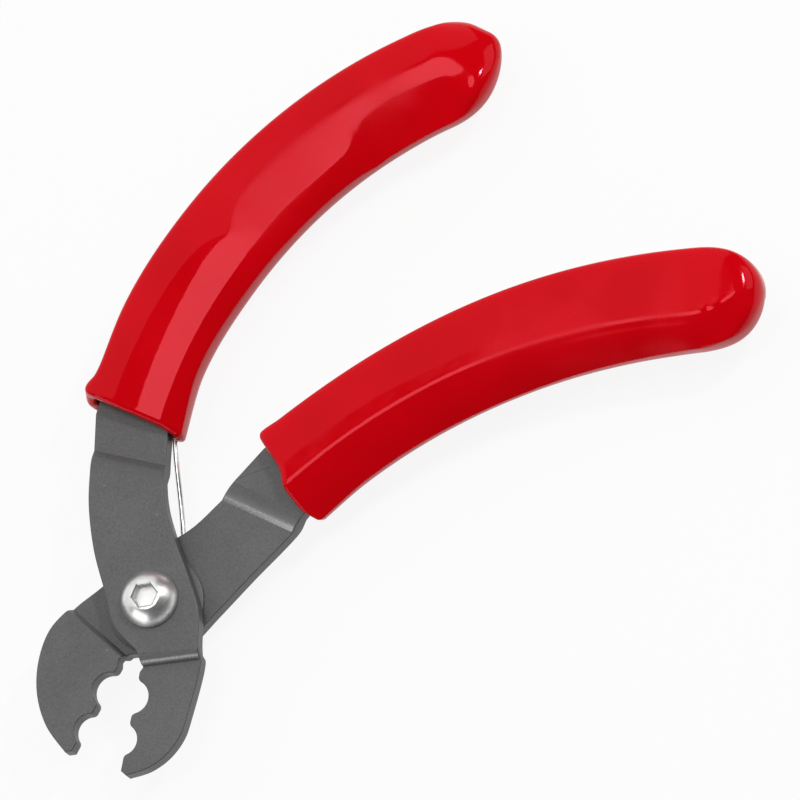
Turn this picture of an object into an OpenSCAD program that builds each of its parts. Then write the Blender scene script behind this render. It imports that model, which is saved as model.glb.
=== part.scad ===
// Nock pliers: two offset plate levers on one pivot screw, with sleeve grips and a return spring.
// Sizes are in millimetres. X runs from the jaws to the handles and Z along the pivot axis.
// The origin is on the pivot axis, on the flat end of the screw, which the tool rests on.

/* [Plates] */
// Thickness of the steel plate that both levers are cut from
plate_t = 3; // [2.4:0.1:3.6]
// Width of the tang that each grip is pushed over
tang_w = 14.2; // [12:0.1:14.6]
// Length of each tang inside its grip
tang_in = 82; // [60:1:84]
// Corner radius at the hidden end of each tang
tang_end_r = 5; // [2:0.5:6]
// Least distance from the pivot axis to the edges of the front lever
front_pivot_r = 8; // [7.5:0.1:9]
// Least distance from the pivot axis to the edges of the rear lever
rear_pivot_r = 9.5; // [8.5:0.1:10]

/* [Offset bends] */
// Distance of the front lever's jaw bend from the pivot axis
front_jaw_bend = 11.7; // [11:0.1:12.5]
// Distance of the front lever's handle bend from the pivot axis
front_handle_bend = 24.5; // [22:0.1:26]
// Distance of the rear lever's jaw bend from the pivot axis
rear_jaw_bend = 11.3; // [11:0.1:12]
// Distance of the rear lever's handle bend from the pivot axis
rear_handle_bend = 24.9; // [23:0.1:27]
// Steepness of the jaw bends in degrees
jaw_bend_angle = 72; // [60:1:78]
// Outer radius of the jaw bends
jaw_bend_r = 0.6; // [0.3:0.1:0.9]
// Steepness of the handle bends in degrees
handle_bend_angle = 40; // [32:1:50]
// Outer radius of the handle bends
handle_bend_r = 3; // [1.5:0.1:4]

/* [Jaws] */
// Direction of the line on which the jaws close, in degrees from X
jaw_line = 203.5; // [201:0.5:206]
// Angle between the two rows of teeth as the tool rests open
jaw_open = 18.8; // [17:0.2:22]
// Distance from the pivot axis to the tip of the front jaw
front_jaw_len = 31.7; // [30.4:0.1:34]
// Distance from the pivot axis to the tip of the rear jaw
rear_jaw_len = 30.9; // [30.4:0.1:34]
// Width of the blunt end of each jaw
tip_w = 1.1; // [0.8:0.1:1.6]
// Distance from the pivot axis to the inner end of the teeth
root_r = 12; // [11.4:0.1:12.6]
// Rounding of the teeth
tooth_r = 0.7; // [0.4:0.1:0.8]
// Radius of the closing notch, near the pivot
close_notch_r = 3.1; // [2.6:0.1:3.3]
// Depth of the closing notch
close_notch_depth = 2.5; // [1.5:0.1:3]
// Distance from the pivot axis to the closing notch
close_notch_at = 17.5; // [17.3:0.1:18]
// Radius of the opening notch, near the tips
open_notch_r = 2.9; // [2.4:0.1:3.1]
// Depth of the opening notch
open_notch_depth = 1.9; // [1.2:0.1:2.4]
// Distance from the pivot axis to the opening notch
open_notch_at = 25.4; // [25:0.1:26]
// Width of the front jaw, from its teeth to its outer edge
front_jaw_w = 10.4; // [9:0.1:11]
// Width of the rear jaw, from its teeth to its outer edge
rear_jaw_w = 14.9; // [13:0.1:16]

/* [Handles] */
// Bend radius of the front handle
front_bow_r = 88.4; // [80:0.2:110]
// Direction of the front handle where the grip begins, in degrees
front_heading = 26.8; // [22:0.2:30]
// Bend radius of the rear handle
rear_bow_r = 121.8; // [100:0.2:140]
// Direction of the rear handle where the grip begins, in degrees
rear_heading = -7.9; // [-12:0.1:-4]

/* [Grips] */
// Length of the front grip along its bow
front_grip_len = 95.5; // [90:0.5:110]
// Length of the rear grip along its bow
rear_grip_len = 92; // [90:0.5:110]
// Width of the front grip across the plate
front_grip_w = 18.8; // [18.2:0.1:22]
// Width of the rear grip across the plate
rear_grip_w = 19.4; // [18.2:0.1:22]
// Height of a grip through the plate
grip_h = 10.4; // [9.6:0.1:13]
// Thickness of the sleeve at its open mouth
sleeve_wall = 1; // [0.8:0.05:1.2]
// Outward flare of the mouth's rim
mouth_flare = 0.3; // [0:0.1:1]
// Slant of the front grip's mouth, as a rise over its half width
front_slant = 0.12; // [-0.2:0.02:0.2]
// Slant of the rear grip's mouth, as a rise over its half width
rear_slant = 0; // [-0.2:0.02:0.2]
// Depth of the roomy mouth that the spring's ends are tucked into
mouth_depth = 10; // [9:0.5:14]
// Room between a tang and the sleeve that grips it
tang_fit = 0.25; // [0.15:0.05:0.4]
// Length of the rounded far end of a grip
grip_dome = 12; // [7:0.5:14]

/* [Pivot] */
// Diameter of the pivot screw
screw_d = 6; // [5:0.1:6]
// Diameter of the screw's button head
head_d = 10.5; // [9.5:0.1:12]
// Height of the screw's button head
head_h = 3.3; // [2.6:0.1:4]
// Width across the flats of the screw's hexagon socket
socket_w = 4; // [3:0.1:4.4]
// Depth of the screw's hexagon socket
socket_depth = 2.1; // [1.2:0.1:2.1]
// Length of screw that stands out below the nut
tail_out = 0.8; // [0.5:0.1:3]
// Outer diameter of the thrust washer between the levers
thrust_d = 18; // [14:0.2:18.4]
// Thickness of the thrust washer between the levers
thrust_t = 0.5; // [0.4:0.1:1]
// Outer diameter of the flat washer under the nut
flat_d = 11; // [10:0.1:11.8]
// Thickness of the flat washer under the nut
flat_t = 1; // [0.5:0.1:1.6]
// Width across the flats of the lock nut
nut_w = 10; // [9:0.1:10.4]
// Height of the lock nut with its collar
nut_h = 5; // [4.4:0.1:6.5]
// Outer diameter of the ring of plastic held in the nut
insert_d = 8; // [7.4:0.1:8.2]
// Radial room of the levers on the screw
run_fit = 0.05; // [0.02:0.01:0.1]
// Room left along the screw on each side of the turning lever
end_play = 0.05; // [0.02:0.01:0.1]

/* [Spring] */
// Diameter of the spring's wire
wire_d = 1; // [0.7:0.05:1]
// Radius of the spring's coil, at the middle of its wire
coil_r = 7.2; // [7.1:0.05:7.6]
// Full turns of the coil, besides the part turn between its legs
coil_turns = 2; // [1:1:2]
// Space between the turns of the coil
coil_gap = 0.5; // [0.45:0.05:0.6]
// Room between the coil and the rear lever
coil_seat = 0.3; // [0.2:0.05:0.5]
// Length of each leg that is tucked into a grip's mouth
leg_in = 6; // [4:0.5:8]

/* [Hidden] */
$fn = 64;
STEEL = [0.36, 0.36, 0.36];
BRIGHT = [0.8, 0.8, 0.8];
VINYL = [0.78, 0, 0.04];
NYLON = [0.92, 0.92, 0.88];
OVER = 1;
FAR = 200;

// Heights of the stacked faces, from the screw's end upwards
nut_low = tail_out;
nut_top = nut_low + nut_h;
rear_low = nut_top + flat_t;
thrust_low = rear_low + plate_t;
thrust_top = thrust_low + thrust_t;
front_low = thrust_top + end_play;
front_top = front_low + plate_t;
head_low = front_top + end_play;
// Height of the plane in which the jaws meet and the handles lie, and the offset of the levers from it
mid_z = (rear_low + front_top) / 2;
joggle = (front_low - rear_low) / 2;

// Plain geometry
function polar(r, angle) = r * [cos(angle), sin(angle)];
function turn(p, angle) =
    [p[0] * cos(angle) - p[1] * sin(angle), p[0] * sin(angle) + p[1] * cos(angle)];
function lerp(a, b, t) = a + (b - a) * t;
function ease(t) = let (u = min(max(t, 0), 1)) u * u * (3 - 2 * u);
function arc(centre, r, from, to, steps) =
    [for (i = [0:steps]) centre + polar(r, lerp(from, to, i / steps))];

// A smooth curve through chosen points
curve_steps = 4;
function curve_point(p, i, t) =
    let (a = p[max(i - 1, 0)], b = p[i], c = p[i + 1], d = p[min(i + 2, len(p) - 1)])
    0.5 * (2 * b + (c - a) * t + (2 * a - 5 * b + 4 * c - d) * t * t
        + (3 * b - a - 3 * c + d) * t * t * t);
function smooth_curve(p) = [
    for (i = [0:len(p) - 2]) for (k = [0:curve_steps - 1]) curve_point(p, i, k / curve_steps),
    p[len(p) - 1],
];

// A handle is the middle of its grip's mouth, its direction there and its bow radius
front_handle = [[22.1, 26.4], front_heading, front_bow_r];
rear_handle = [[33.4, -3.6], rear_heading, rear_bow_r];
// The point at a length along a handle's bow and a distance to the left of it
function handle_point(handle, along, left) =
    let (bow_r = handle[2], start = handle[1] + 90, centre = handle[0] - polar(bow_r, start))
    centre + polar(bow_r + left, start - along / bow_r * 180 / PI);

// The teeth of one jaw, from its tip to its root, as distances along and into the jaw
notch_steps = 8;
tooth_steps = 3;
nose = 0.7;
root_rise = 0.45;
root_slope = 0.9;
function notch_edge(at, r, depth) =
    let (low = depth - r, reach = sqrt(pow(r + tooth_r, 2) - pow(tooth_r - low, 2)),
        lean = atan2(tooth_r - low, reach))
    concat(
        arc([at + reach, tooth_r], tooth_r, 270, 180 + lean, tooth_steps),
        arc([at, low], r, lean, 180 - lean, notch_steps),
        arc([at - reach, tooth_r], tooth_r, -lean, -90, tooth_steps));
function tooth_edge(jaw_len) = concat(
    [[jaw_len - nose, 0]],
    notch_edge(open_notch_at, open_notch_r, open_notch_depth),
    notch_edge(close_notch_at, close_notch_r, close_notch_depth),
    [[root_r + root_slope, 0], [root_r, root_rise]]);

// The outer edge of one jaw, from its widest place round to its tip
belly_steps = 10;
function outer_edge(jaw_len, belly_at, width) =
    let (span = jaw_len - belly_at, rise = width - tip_w, r = (span * span + rise * rise) / (2 * rise))
    arc([belly_at, width - r], r, 90, atan2(r - rise, span), belly_steps);

// Jaw distances as places in plan: the front jaw lies to the left of its teeth, the rear one to the right
function jaw_place(side, points) =
    [for (p = points) turn([p[0], side * p[1]], jaw_line + side * jaw_open / 2)];

// The tang's outline, out along one side and back along the other
tang_steps = 16;
tang_lead = -1;
corner_step = 15;
function tang_flat(handle, side, i) =
    handle_point(handle, lerp(tang_lead, tang_in - tang_end_r, i / tang_steps), side * tang_w / 2);
function tang_corner(handle, side, a) =
    let (back = tang_end_r * (1 - sin(a)), inward = tang_end_r * (1 - cos(a)))
    handle_point(handle, tang_in - back, side * (tang_w / 2 - inward));
function tang_edge(handle, side) = concat(
    [for (i = [1:tang_steps]) tang_flat(handle, side, i)],
    [for (a = [corner_step:corner_step:90]) tang_corner(handle, side, a)],
    [for (a = [90:-corner_step:0]) tang_corner(handle, -side, a)],
    [for (i = [tang_steps - 1:-1:1]) tang_flat(handle, -side, i)]);

// Plan of the front lever: teeth, left edge, tang, right edge and outer edge of the jaw
front_belly_at = 19.6;
front_teeth = jaw_place(1, tooth_edge(front_jaw_len));
front_back = jaw_place(1, outer_edge(front_jaw_len, front_belly_at, front_jaw_w));
front_left = smooth_curve([
    front_teeth[len(front_teeth) - 1], [-8.4, -4.6], [-8.3, -2], polar(front_pivot_r, 164), [-4.7, 7],
    [-0.3, 14.3], [5.2, 21], [11.3, 26.4], handle_point(front_handle, tang_lead, tang_w / 2),
]);
front_right = smooth_curve([
    handle_point(front_handle, tang_lead, -tang_w / 2), [19.4, 15], [14.9, 10.1], [11.4, 4.8],
    polar(front_pivot_r, -20), [4.4, -8.2], [0.2, -12.2], [-3, -15.1], front_back[0],
]);
front_plan = concat(front_teeth, front_left, tang_edge(front_handle, 1), front_right, front_back);

// Plan of the rear lever: teeth, lower edge, tang, upper edge and outer edge of the jaw
rear_belly_at = 12.7;
rear_teeth = jaw_place(-1, tooth_edge(rear_jaw_len));
rear_back = jaw_place(-1, outer_edge(rear_jaw_len, rear_belly_at, rear_jaw_w));
rear_lower = smooth_curve([
    rear_teeth[len(rear_teeth) - 1], [-9.9, -2.6], [-8.6, -4], [-6, -6.4], polar(rear_pivot_r, -100),
    [6, -9.8], [15, -10.1], [24, -10.6], handle_point(rear_handle, tang_lead, -tang_w / 2),
]);
rear_upper = smooth_curve([
    handle_point(rear_handle, tang_lead, tang_w / 2), [26, 3.7], [20, 3.9], [12.8, 4.9],
    polar(rear_pivot_r, 70), [-4.3, 10], [-9.9, 11.1], rear_back[0],
]);
rear_plan = concat(rear_teeth, rear_lower, tang_edge(rear_handle, -1), rear_upper, rear_back);

// A bend is its distance and direction from the pivot axis, its steepness and its outer radius
front_bends = [
    [front_jaw_bend, 227, jaw_bend_angle, jaw_bend_r],
    [front_handle_bend, 28, handle_bend_angle, handle_bend_r],
];
rear_bends = [
    [rear_jaw_bend, 181, jaw_bend_angle, jaw_bend_r],
    [rear_handle_bend, 16, handle_bend_angle, handle_bend_r],
];
bend_steps = 6;
function bend_run(bend) =
    bend[3] * sin(bend[2]) + (joggle - bend[3] * (1 - cos(bend[2]))) / tan(bend[2]);
// The climb of a bend's upper face, from its sharp foot to its rounded brow
function climb(bend) = concat([[0, 0]], [
    for (i = [0:bend_steps])
        let (a = bend[2] * (1 - i / bend_steps))
        [bend_run(bend) - bend[3] * sin(a), joggle - bend[3] * (1 - cos(a))],
]);
// The lower face climbs the same way from the other end
function under_climb(bend) =
    let (c = climb(bend), last = len(c) - 1)
    [for (i = [0:last]) [bend_run(bend) - c[last - i][0], joggle - c[last - i][1]]];

module along_bend(bend, profile) {
    rotate(bend[1]) rotate([90, 0, 0]) linear_extrude(FAR, center = true) polygon(profile);
}

// What is cut away above the plate, outside a bend
module above_bend(bend) {
    high = plate_t / 2 + joggle + OVER;
    along_bend(bend, concat(
        [[bend[0] + FAR, plate_t / 2]],
        [for (c = climb(bend)) [bend[0] - c[0], plate_t / 2 + c[1]]],
        [[bend[0] - bend_run(bend), high], [bend[0] + FAR, high]]));
}

// What is cut away below the plate, inside a bend
module below_bend(bend) {
    low = -plate_t / 2 - OVER;
    along_bend(bend, concat(
        [[bend[0], low]],
        [for (c = under_climb(bend)) [bend[0] - c[0], c[1] - plate_t / 2]],
        [[-FAR, joggle - plate_t / 2], [-FAR, low]]));
}

// A plate lever whose middle is set above its jaw and tang, drilled for the screw
module offset_plate(plan, bends) {
    difference() {
        translate([0, 0, -plate_t / 2]) linear_extrude(plate_t + joggle) polygon(plan);
        for (bend = bends) above_bend(bend);
        intersection() {
            below_bend(bends[0]);
            below_bend(bends[1]);
        }
        cylinder(h = FAR, r = screw_d / 2 + run_fit, center = true);
    }
}

module front_lever() {
    color(STEEL) translate([0, 0, mid_z]) offset_plate(front_plan, front_bends);
}

module rear_lever() {
    color(STEEL) translate([0, 0, mid_z]) mirror([0, 0, 1]) offset_plate(rear_plan, rear_bends);
}

// One ring of a grip's skin: a box section whose corners are rounded by two radii
quarter_steps = 5;
function section_ring(handle, along, slant, half_w, half_h, round_w, round_h) = [
    for (q = [0:3]) for (k = [0:quarter_steps - 1])
        let (angle = 90 * (q + k / (quarter_steps - 1)),
            sign_w = q == 0 || q == 3 ? 1 : -1, sign_h = q < 2 ? 1 : -1,
            left = sign_w * (half_w - round_w) + round_w * cos(angle),
            p = handle_point(handle, along + slant * left, left))
        [p[0], p[1], mid_z + sign_h * (half_h - round_h) + round_h * sin(angle)],
];
// A mouth's slant fades out along the roomy part of the sleeve
function slant_at(slant, along) = slant * (1 - ease(along / mouth_depth));

// Faces of a skin between rings of equal length, and of the fan that closes its last ring
sides = 4 * quarter_steps;
function skin_faces(rings, first) = [
    for (r = [0:rings - 2]) for (k = [0:sides - 1])
        let (a = first + r * sides + k, b = first + r * sides + (k + 1) % sides)
        each [[a, a + sides, b], [b, a + sides, b + sides]],
];
function fan_faces(first, tip) = [for (k = [0:sides - 1]) [first + k, tip, first + (k + 1) % sides]];
function turned(faces) = [for (f = faces) [f[2], f[1], f[0]]];

// Outer skin of a grip: flared at its rim, rounded over at its far end
flare_len = 5;
// Share of a grip's half width that its rounded sides take up
corner_share = 0.55;
dome_power = 2.2;
dome_steps = 8;
body_steps = 14;
function dome_share(along, len) =
    let (t = max(0, (along - (len - grip_dome)) / grip_dome)) pow(1 - pow(t, dome_power), 1 / dome_power);
function rim_flare(along) = mouth_flare * pow(1 - ease(along / flare_len), 2);
function outer_places(len) = concat(
    [0, flare_len / 4, flare_len / 2],
    [for (i = [0:body_steps]) lerp(flare_len, len - grip_dome, i / body_steps)],
    [for (i = [1:dome_steps - 1]) len - grip_dome * (1 - sin(90 * i / dome_steps))]);
function outer_ring(handle, along, slant, len, grip_w) =
    let (share = dome_share(along, len), half_w = (grip_w / 2 + rim_flare(along)) * share,
        half_h = (grip_h / 2 + rim_flare(along)) * share)
    section_ring(handle, along, slant_at(slant, along), half_w, half_h, half_w * corner_share, half_h);

// Inner skin of a grip: a roomy oval mouth that narrows to a slot round the tang
narrow_len = 5;
slot_corner = 0.4;
end_room = 0.6;
slot_steps = 14;
function inner_places() = concat(
    [0, mouth_depth / 2, mouth_depth],
    [for (i = [1:3]) mouth_depth + narrow_len * i / 3],
    [for (i = [1:slot_steps]) lerp(mouth_depth + narrow_len, tang_in + end_room, i / slot_steps)]);
function inner_ring(handle, along, slant, grip_w) =
    let (t = ease((along - mouth_depth) / narrow_len),
        mouth_w = grip_w / 2 - sleeve_wall + rim_flare(along),
        mouth_h = grip_h / 2 - sleeve_wall + rim_flare(along),
        half_w = lerp(mouth_w, tang_w / 2 + tang_fit, t), half_h = lerp(mouth_h, plate_t / 2 + tang_fit, t))
    section_ring(handle, along, slant_at(slant, along), half_w, half_h,
        lerp(mouth_w * corner_share, slot_corner, t), lerp(mouth_h, slot_corner, t));

module sleeve(handle, len, slant, grip_w) {
    outer = outer_places(len);
    inner = inner_places();
    outer_count = len(outer) * sides;
    inner_count = len(inner) * sides;
    outer_tip = handle_point(handle, len, 0);
    inner_tip = handle_point(handle, tang_in + end_room, 0);
    rim_faces = [for (k = [0:sides - 1])
        let (a = k, b = (k + 1) % sides)
        each [[a, b, outer_count + a], [b, outer_count + b, outer_count + a]]];
    polyhedron(
        points = concat(
            [for (along = outer) each outer_ring(handle, along, slant, len, grip_w)],
            [for (along = inner) each inner_ring(handle, along, slant, grip_w)],
            [[outer_tip[0], outer_tip[1], mid_z], [inner_tip[0], inner_tip[1], mid_z]]),
        faces = concat(
            skin_faces(len(outer), 0),
            fan_faces(outer_count - sides, outer_count + inner_count),
            turned(skin_faces(len(inner), outer_count)),
            turned(fan_faces(outer_count + inner_count - sides, outer_count + inner_count + 1)),
            rim_faces));
}

module front_grip() {
    color(VINYL) sleeve(front_handle, front_grip_len, front_slant, front_grip_w);
}

module rear_grip() {
    color(VINYL) sleeve(rear_handle, rear_grip_len, rear_slant, rear_grip_w);
}

// Button-head screw: domed head with a hexagon socket, plain shank and threaded tail
head_land = 0.4;
socket_r = socket_w / 2 / cos(30);
socket_rim = 0.5;
head_flat_r = socket_r + socket_rim;
dome_points = 10;
socket_turn = 9.3;
socket_mouth = 0.25;
drill_depth = 0.7;
drill_room = 0.1;
lap = 0.01;
thread_pitch = 1;
thread_depth = 0.5;
thread_fit = 0.05;
tail_chamfer = 0.5;
thread_top = nut_top + flat_t / 2;
thread_turns = floor((thread_top - tail_chamfer) / thread_pitch);
thread_r = screw_d / 2 - thread_fit;
function thread_edge() = [
    for (i = [0:thread_turns - 1])
        let (z = thread_top - (thread_turns - i) * thread_pitch)
        each [[thread_r, z], [thread_r - thread_depth, z + thread_pitch / 2]],
    [thread_r, thread_top],
];
function screw_edge() = concat(
    [[0, 0], [thread_r - tail_chamfer, 0]],
    thread_edge(),
    [[screw_d / 2, thread_top], [screw_d / 2, head_low], [head_d / 2, head_low]],
    [for (i = [0:dome_points])
        let (a = 90 * i / dome_points)
        [lerp(head_flat_r, head_d / 2, cos(a)), head_low + head_land + (head_h - head_land) * sin(a)]],
    [[0, head_low + head_h]]);

module pivot_screw() {
    socket_low = head_low + head_h - socket_depth;
    color(BRIGHT) difference() {
        rotate_extrude() polygon(screw_edge());
        translate([0, 0, socket_low]) rotate(socket_turn) cylinder(h = FAR, r = socket_r, $fn = 6);
        translate([0, 0, socket_low - drill_depth])
            cylinder(h = drill_depth + lap, r1 = 0, r2 = socket_w / 2 - drill_room);
        translate([0, 0, head_low + head_h - socket_mouth])
            cylinder(h = 2 * socket_mouth, r1 = socket_w / 2, r2 = socket_w / 2 + 2 * socket_mouth);
    }
}

// A flat ring that stands on a height
module washer(low, outer_d, bore_d, thick) {
    translate([0, 0, low]) difference() {
        cylinder(h = thick, r = outer_d / 2);
        translate([0, 0, -OVER]) cylinder(h = thick + 2 * OVER, r = bore_d / 2);
    }
}

washer_fit = 0.2;

module thrust_washer() {
    color(BRIGHT) washer(thrust_low, thrust_d, screw_d + 2 * run_fit, thrust_t);
}

module flat_washer() {
    color(BRIGHT) washer(rear_low - flat_t, flat_d, screw_d + 2 * washer_fit, flat_t);
}

// Lock nut: a hexagon with a round collar, which is turned in over the plastic ring
collar_h = 1.6;
collar_step = 0.4;
collar_d = nut_w - 2 * collar_step;
collar_lip = 0.4;
insert_h = 1.5;
insert_fit = 0.02;
nut_chamfer = 0.4;
insert_low = nut_low + collar_lip;
nut_corner_r = nut_w / 2 / cos(30);

module lock_nut() {
    hex_low = nut_low + collar_h;
    color(BRIGHT) difference() {
        union() {
            intersection() {
                translate([0, 0, hex_low]) cylinder(h = nut_top - hex_low, r = nut_corner_r, $fn = 6);
                rotate_extrude() polygon([
                    [0, hex_low], [nut_corner_r - 2 * nut_chamfer, hex_low],
                    [nut_corner_r, hex_low + nut_chamfer], [nut_corner_r, nut_top - nut_chamfer],
                    [nut_corner_r - 2 * nut_chamfer, nut_top], [0, nut_top],
                ]);
            }
            rotate_extrude() polygon([
                [0, nut_low], [collar_d / 2 - nut_chamfer, nut_low], [collar_d / 2, nut_low + nut_chamfer],
                [collar_d / 2, hex_low + OVER / 2], [0, hex_low + OVER / 2],
            ]);
        }
        translate([0, 0, insert_low]) cylinder(h = insert_h, r = insert_d / 2 + insert_fit);
        translate([0, 0, nut_low - OVER]) cylinder(h = OVER + insert_low, r = insert_d / 2 - collar_lip);
        cylinder(h = FAR, r = screw_d / 2 + thread_fit);
    }
}

module nut_insert() {
    color(NYLON) washer(insert_low + insert_fit, insert_d, screw_d, insert_h - 2 * insert_fit);
}

// Torsion spring: one wire from the rear grip's mouth, round the nut and out to the front grip's mouth.
// Both ends lie under the tangs, and the front leg has a slight knee behind the rear lever.
ring_sides = 6;
rings_per_turn = 8;
leg_steps = 10;
knee = [10.5, 4.5];
front_leg_back = 2.7;
rear_leg_left = 4.5;
under_tang = 0.2;
coil_top = rear_low - coil_seat - wire_d / 2;
coil_pitch = wire_d + coil_gap;
leg_z = mid_z - plate_t / 2 - under_tang - wire_d / 2;
front_leg_pass = handle_point(front_handle, -front_leg_back, -tang_w / 2 - wire_d / 2);
front_leg_len = norm(front_leg_pass - knee);
front_leg_end = lerp(knee, front_leg_pass, 1 + (front_leg_back + leg_in) / front_leg_len);
rear_leg_end = handle_point(rear_handle, leg_in, rear_leg_left);
front_leave = atan2(knee[1], knee[0]) - acos(coil_r / norm(knee));
rear_leave = atan2(rear_leg_end[1], rear_leg_end[0]) + acos(coil_r / norm(rear_leg_end));
coil_sweep = 360 * (coil_turns + 1) + front_leave - rear_leave;
coil_low = coil_top - coil_pitch * coil_sweep / 360;
coil_steps = ceil(coil_sweep / 360 * rings_per_turn);
// Shares of a leg's length at which it starts and stops climbing
front_climb = [0.15, 0.7];
rear_climb = [0.2, 1];
function climb_share(t, climb_at) = ease((t - climb_at[0]) / (climb_at[1] - climb_at[0]));
function at_height(p, z) = [p[0], p[1], z];
spring_path = concat(
    [for (i = [leg_steps:-1:1])
        let (t = i / leg_steps)
        at_height(lerp(polar(coil_r, rear_leave), rear_leg_end, t),
            lerp(coil_low, leg_z, climb_share(t, rear_climb)))],
    [for (i = [0:coil_steps])
        let (t = i / coil_steps)
        at_height(polar(coil_r, rear_leave + coil_sweep * t), lerp(coil_low, coil_top, t))],
    [at_height(lerp(polar(coil_r, front_leave), knee, 0.5), coil_top)],
    [for (i = [0:leg_steps])
        let (t = i / leg_steps)
        at_height(lerp(knee, front_leg_end, t), lerp(coil_top, leg_z, climb_share(t, front_climb)))]);

// Least gap of the wire to itself, between places more than half a turn apart
function segment_distance(p, a, b) =
    let (ab = b - a, t = min(max((p - a) * ab / (ab * ab), 0), 1)) norm(p - a - t * ab);
spring_gap = min([
    for (i = [0:len(spring_path) - 1]) for (j = [i + rings_per_turn / 2 + 1:len(spring_path) - 2])
        segment_distance(spring_path[i], spring_path[j], spring_path[j + 1]),
]) - wire_d;
echo(str("least gap of the spring to itself ", spring_gap, " mm"));

function unit(v) = v / norm(v);
function wire_ring(path, i) =
    let (ahead = unit(path[min(i + 1, len(path) - 1)] - path[max(i - 1, 0)]),
        across = unit(cross(ahead, [0, 0, 1])), up = cross(across, ahead))
    [for (k = [0:ring_sides - 1])
        let (a = 360 * k / ring_sides) path[i] + wire_d / 2 * (cos(a) * across + sin(a) * up)];

module return_spring() {
    count = len(spring_path);
    color(BRIGHT) polyhedron(
        points = [for (i = [0:count - 1]) each wire_ring(spring_path, i)],
        faces = concat(
            [for (r = [0:count - 2]) for (k = [0:ring_sides - 1])
                let (a = r * ring_sides + k, b = r * ring_sides + (k + 1) % ring_sides)
                each [[a, b, a + ring_sides], [b, b + ring_sides, a + ring_sides]]],
            [for (k = [1:ring_sides - 2]) [0, k + 1, k]],
            [for (k = [1:ring_sides - 2])
                let (last = (count - 1) * ring_sides) [last, last + k, last + k + 1]]));
}

front_lever();
rear_lever();
front_grip();
rear_grip();
pivot_screw();
thrust_washer();
flat_washer();
lock_nut();
nut_insert();
return_spring();
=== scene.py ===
"""Detailed looks of a pair of nock pliers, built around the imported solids."""

import functools
import math

import bmesh
import bpy
from mathutils import Matrix, Vector
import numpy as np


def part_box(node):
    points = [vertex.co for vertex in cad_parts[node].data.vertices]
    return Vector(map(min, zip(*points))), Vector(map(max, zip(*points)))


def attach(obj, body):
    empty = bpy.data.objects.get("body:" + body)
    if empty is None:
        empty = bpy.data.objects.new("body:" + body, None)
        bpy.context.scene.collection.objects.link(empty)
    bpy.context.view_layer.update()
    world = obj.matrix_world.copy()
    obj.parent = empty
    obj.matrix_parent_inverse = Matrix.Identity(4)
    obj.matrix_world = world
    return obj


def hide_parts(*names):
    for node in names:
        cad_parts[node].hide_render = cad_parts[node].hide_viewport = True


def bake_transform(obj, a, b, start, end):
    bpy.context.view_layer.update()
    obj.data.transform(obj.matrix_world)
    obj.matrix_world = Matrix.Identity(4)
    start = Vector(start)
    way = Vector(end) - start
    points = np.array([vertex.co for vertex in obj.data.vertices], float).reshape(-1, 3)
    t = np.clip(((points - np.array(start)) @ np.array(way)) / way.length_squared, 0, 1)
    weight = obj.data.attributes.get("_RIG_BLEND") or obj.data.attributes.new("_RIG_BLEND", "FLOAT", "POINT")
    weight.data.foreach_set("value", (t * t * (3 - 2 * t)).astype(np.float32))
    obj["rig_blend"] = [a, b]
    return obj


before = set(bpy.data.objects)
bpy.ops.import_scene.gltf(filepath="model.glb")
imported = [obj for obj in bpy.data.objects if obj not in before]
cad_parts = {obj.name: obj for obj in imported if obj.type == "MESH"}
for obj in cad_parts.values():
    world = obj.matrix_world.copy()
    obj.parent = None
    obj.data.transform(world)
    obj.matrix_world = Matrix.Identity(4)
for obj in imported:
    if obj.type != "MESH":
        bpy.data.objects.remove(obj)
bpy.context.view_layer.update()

bl_info = {
    "name": "Nock pliers",
    "version": (1, 0, 0),
    "blender": (4, 5, 0),
    "location": "View3D > Sidebar > Nock pliers",
    "description": "Builds the levers, grips, pivot and spring of a pair of nock pliers, and their studio",
    "category": "Object",
}

# Shapes are worked out in millimetres and made in metres
MM = 0.001


def heights_of(node):
    """Return the heights of a solid's lowest and highest points, in millimetres."""
    low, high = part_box(node)
    return low.z / MM, high.z / MM


# Heights of the stacked faces, from the screw's end upwards
NUT_LOW, NUT_TOP = heights_of("lock_nut")
INSERT_LOW, INSERT_TOP = heights_of("nut_insert")
REAR_LOW = heights_of("rear_lever")[0]
THRUST_LOW, THRUST_TOP = heights_of("thrust_washer")
FRONT_TOP = heights_of("front_lever")[1]
HEAD_TOP = heights_of("pivot_screw")[1]
PLATE_T = THRUST_LOW - REAR_LOW
FRONT_LOW = FRONT_TOP - PLATE_T
END_PLAY = FRONT_LOW - THRUST_TOP
HEAD_LOW = FRONT_TOP + END_PLAY
# The plane in which the jaws meet and the handles lie, and how far the levers are set from it
MID_Z = (REAR_LOW + FRONT_TOP) / 2
JOGGLE = (FRONT_LOW - REAR_LOW) / 2


# Kinds of settings

def length(name, description, millimetres):
    """Return a length setting."""
    return bpy.props.FloatProperty(
        name=name, description=description, default=millimetres * MM, min=0.0,
        precision=5, subtype="DISTANCE", unit="LENGTH")


def angle(name, description, degrees):
    """Return an angle setting."""
    return bpy.props.FloatProperty(
        name=name, description=description, default=math.radians(degrees), subtype="ANGLE", unit="ROTATION")


def colour(name, description, red, green, blue):
    """Return a colour setting."""
    return bpy.props.FloatVectorProperty(
        name=name, description=description, default=(red, green, blue, 1.0), size=4,
        min=0.0, max=1.0, subtype="COLOR")


def power(name, description, watts):
    """Return a lamp power setting."""
    return bpy.props.FloatProperty(
        name=name, description=description, default=watts, min=0.0, subtype="POWER", unit="POWER")


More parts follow.
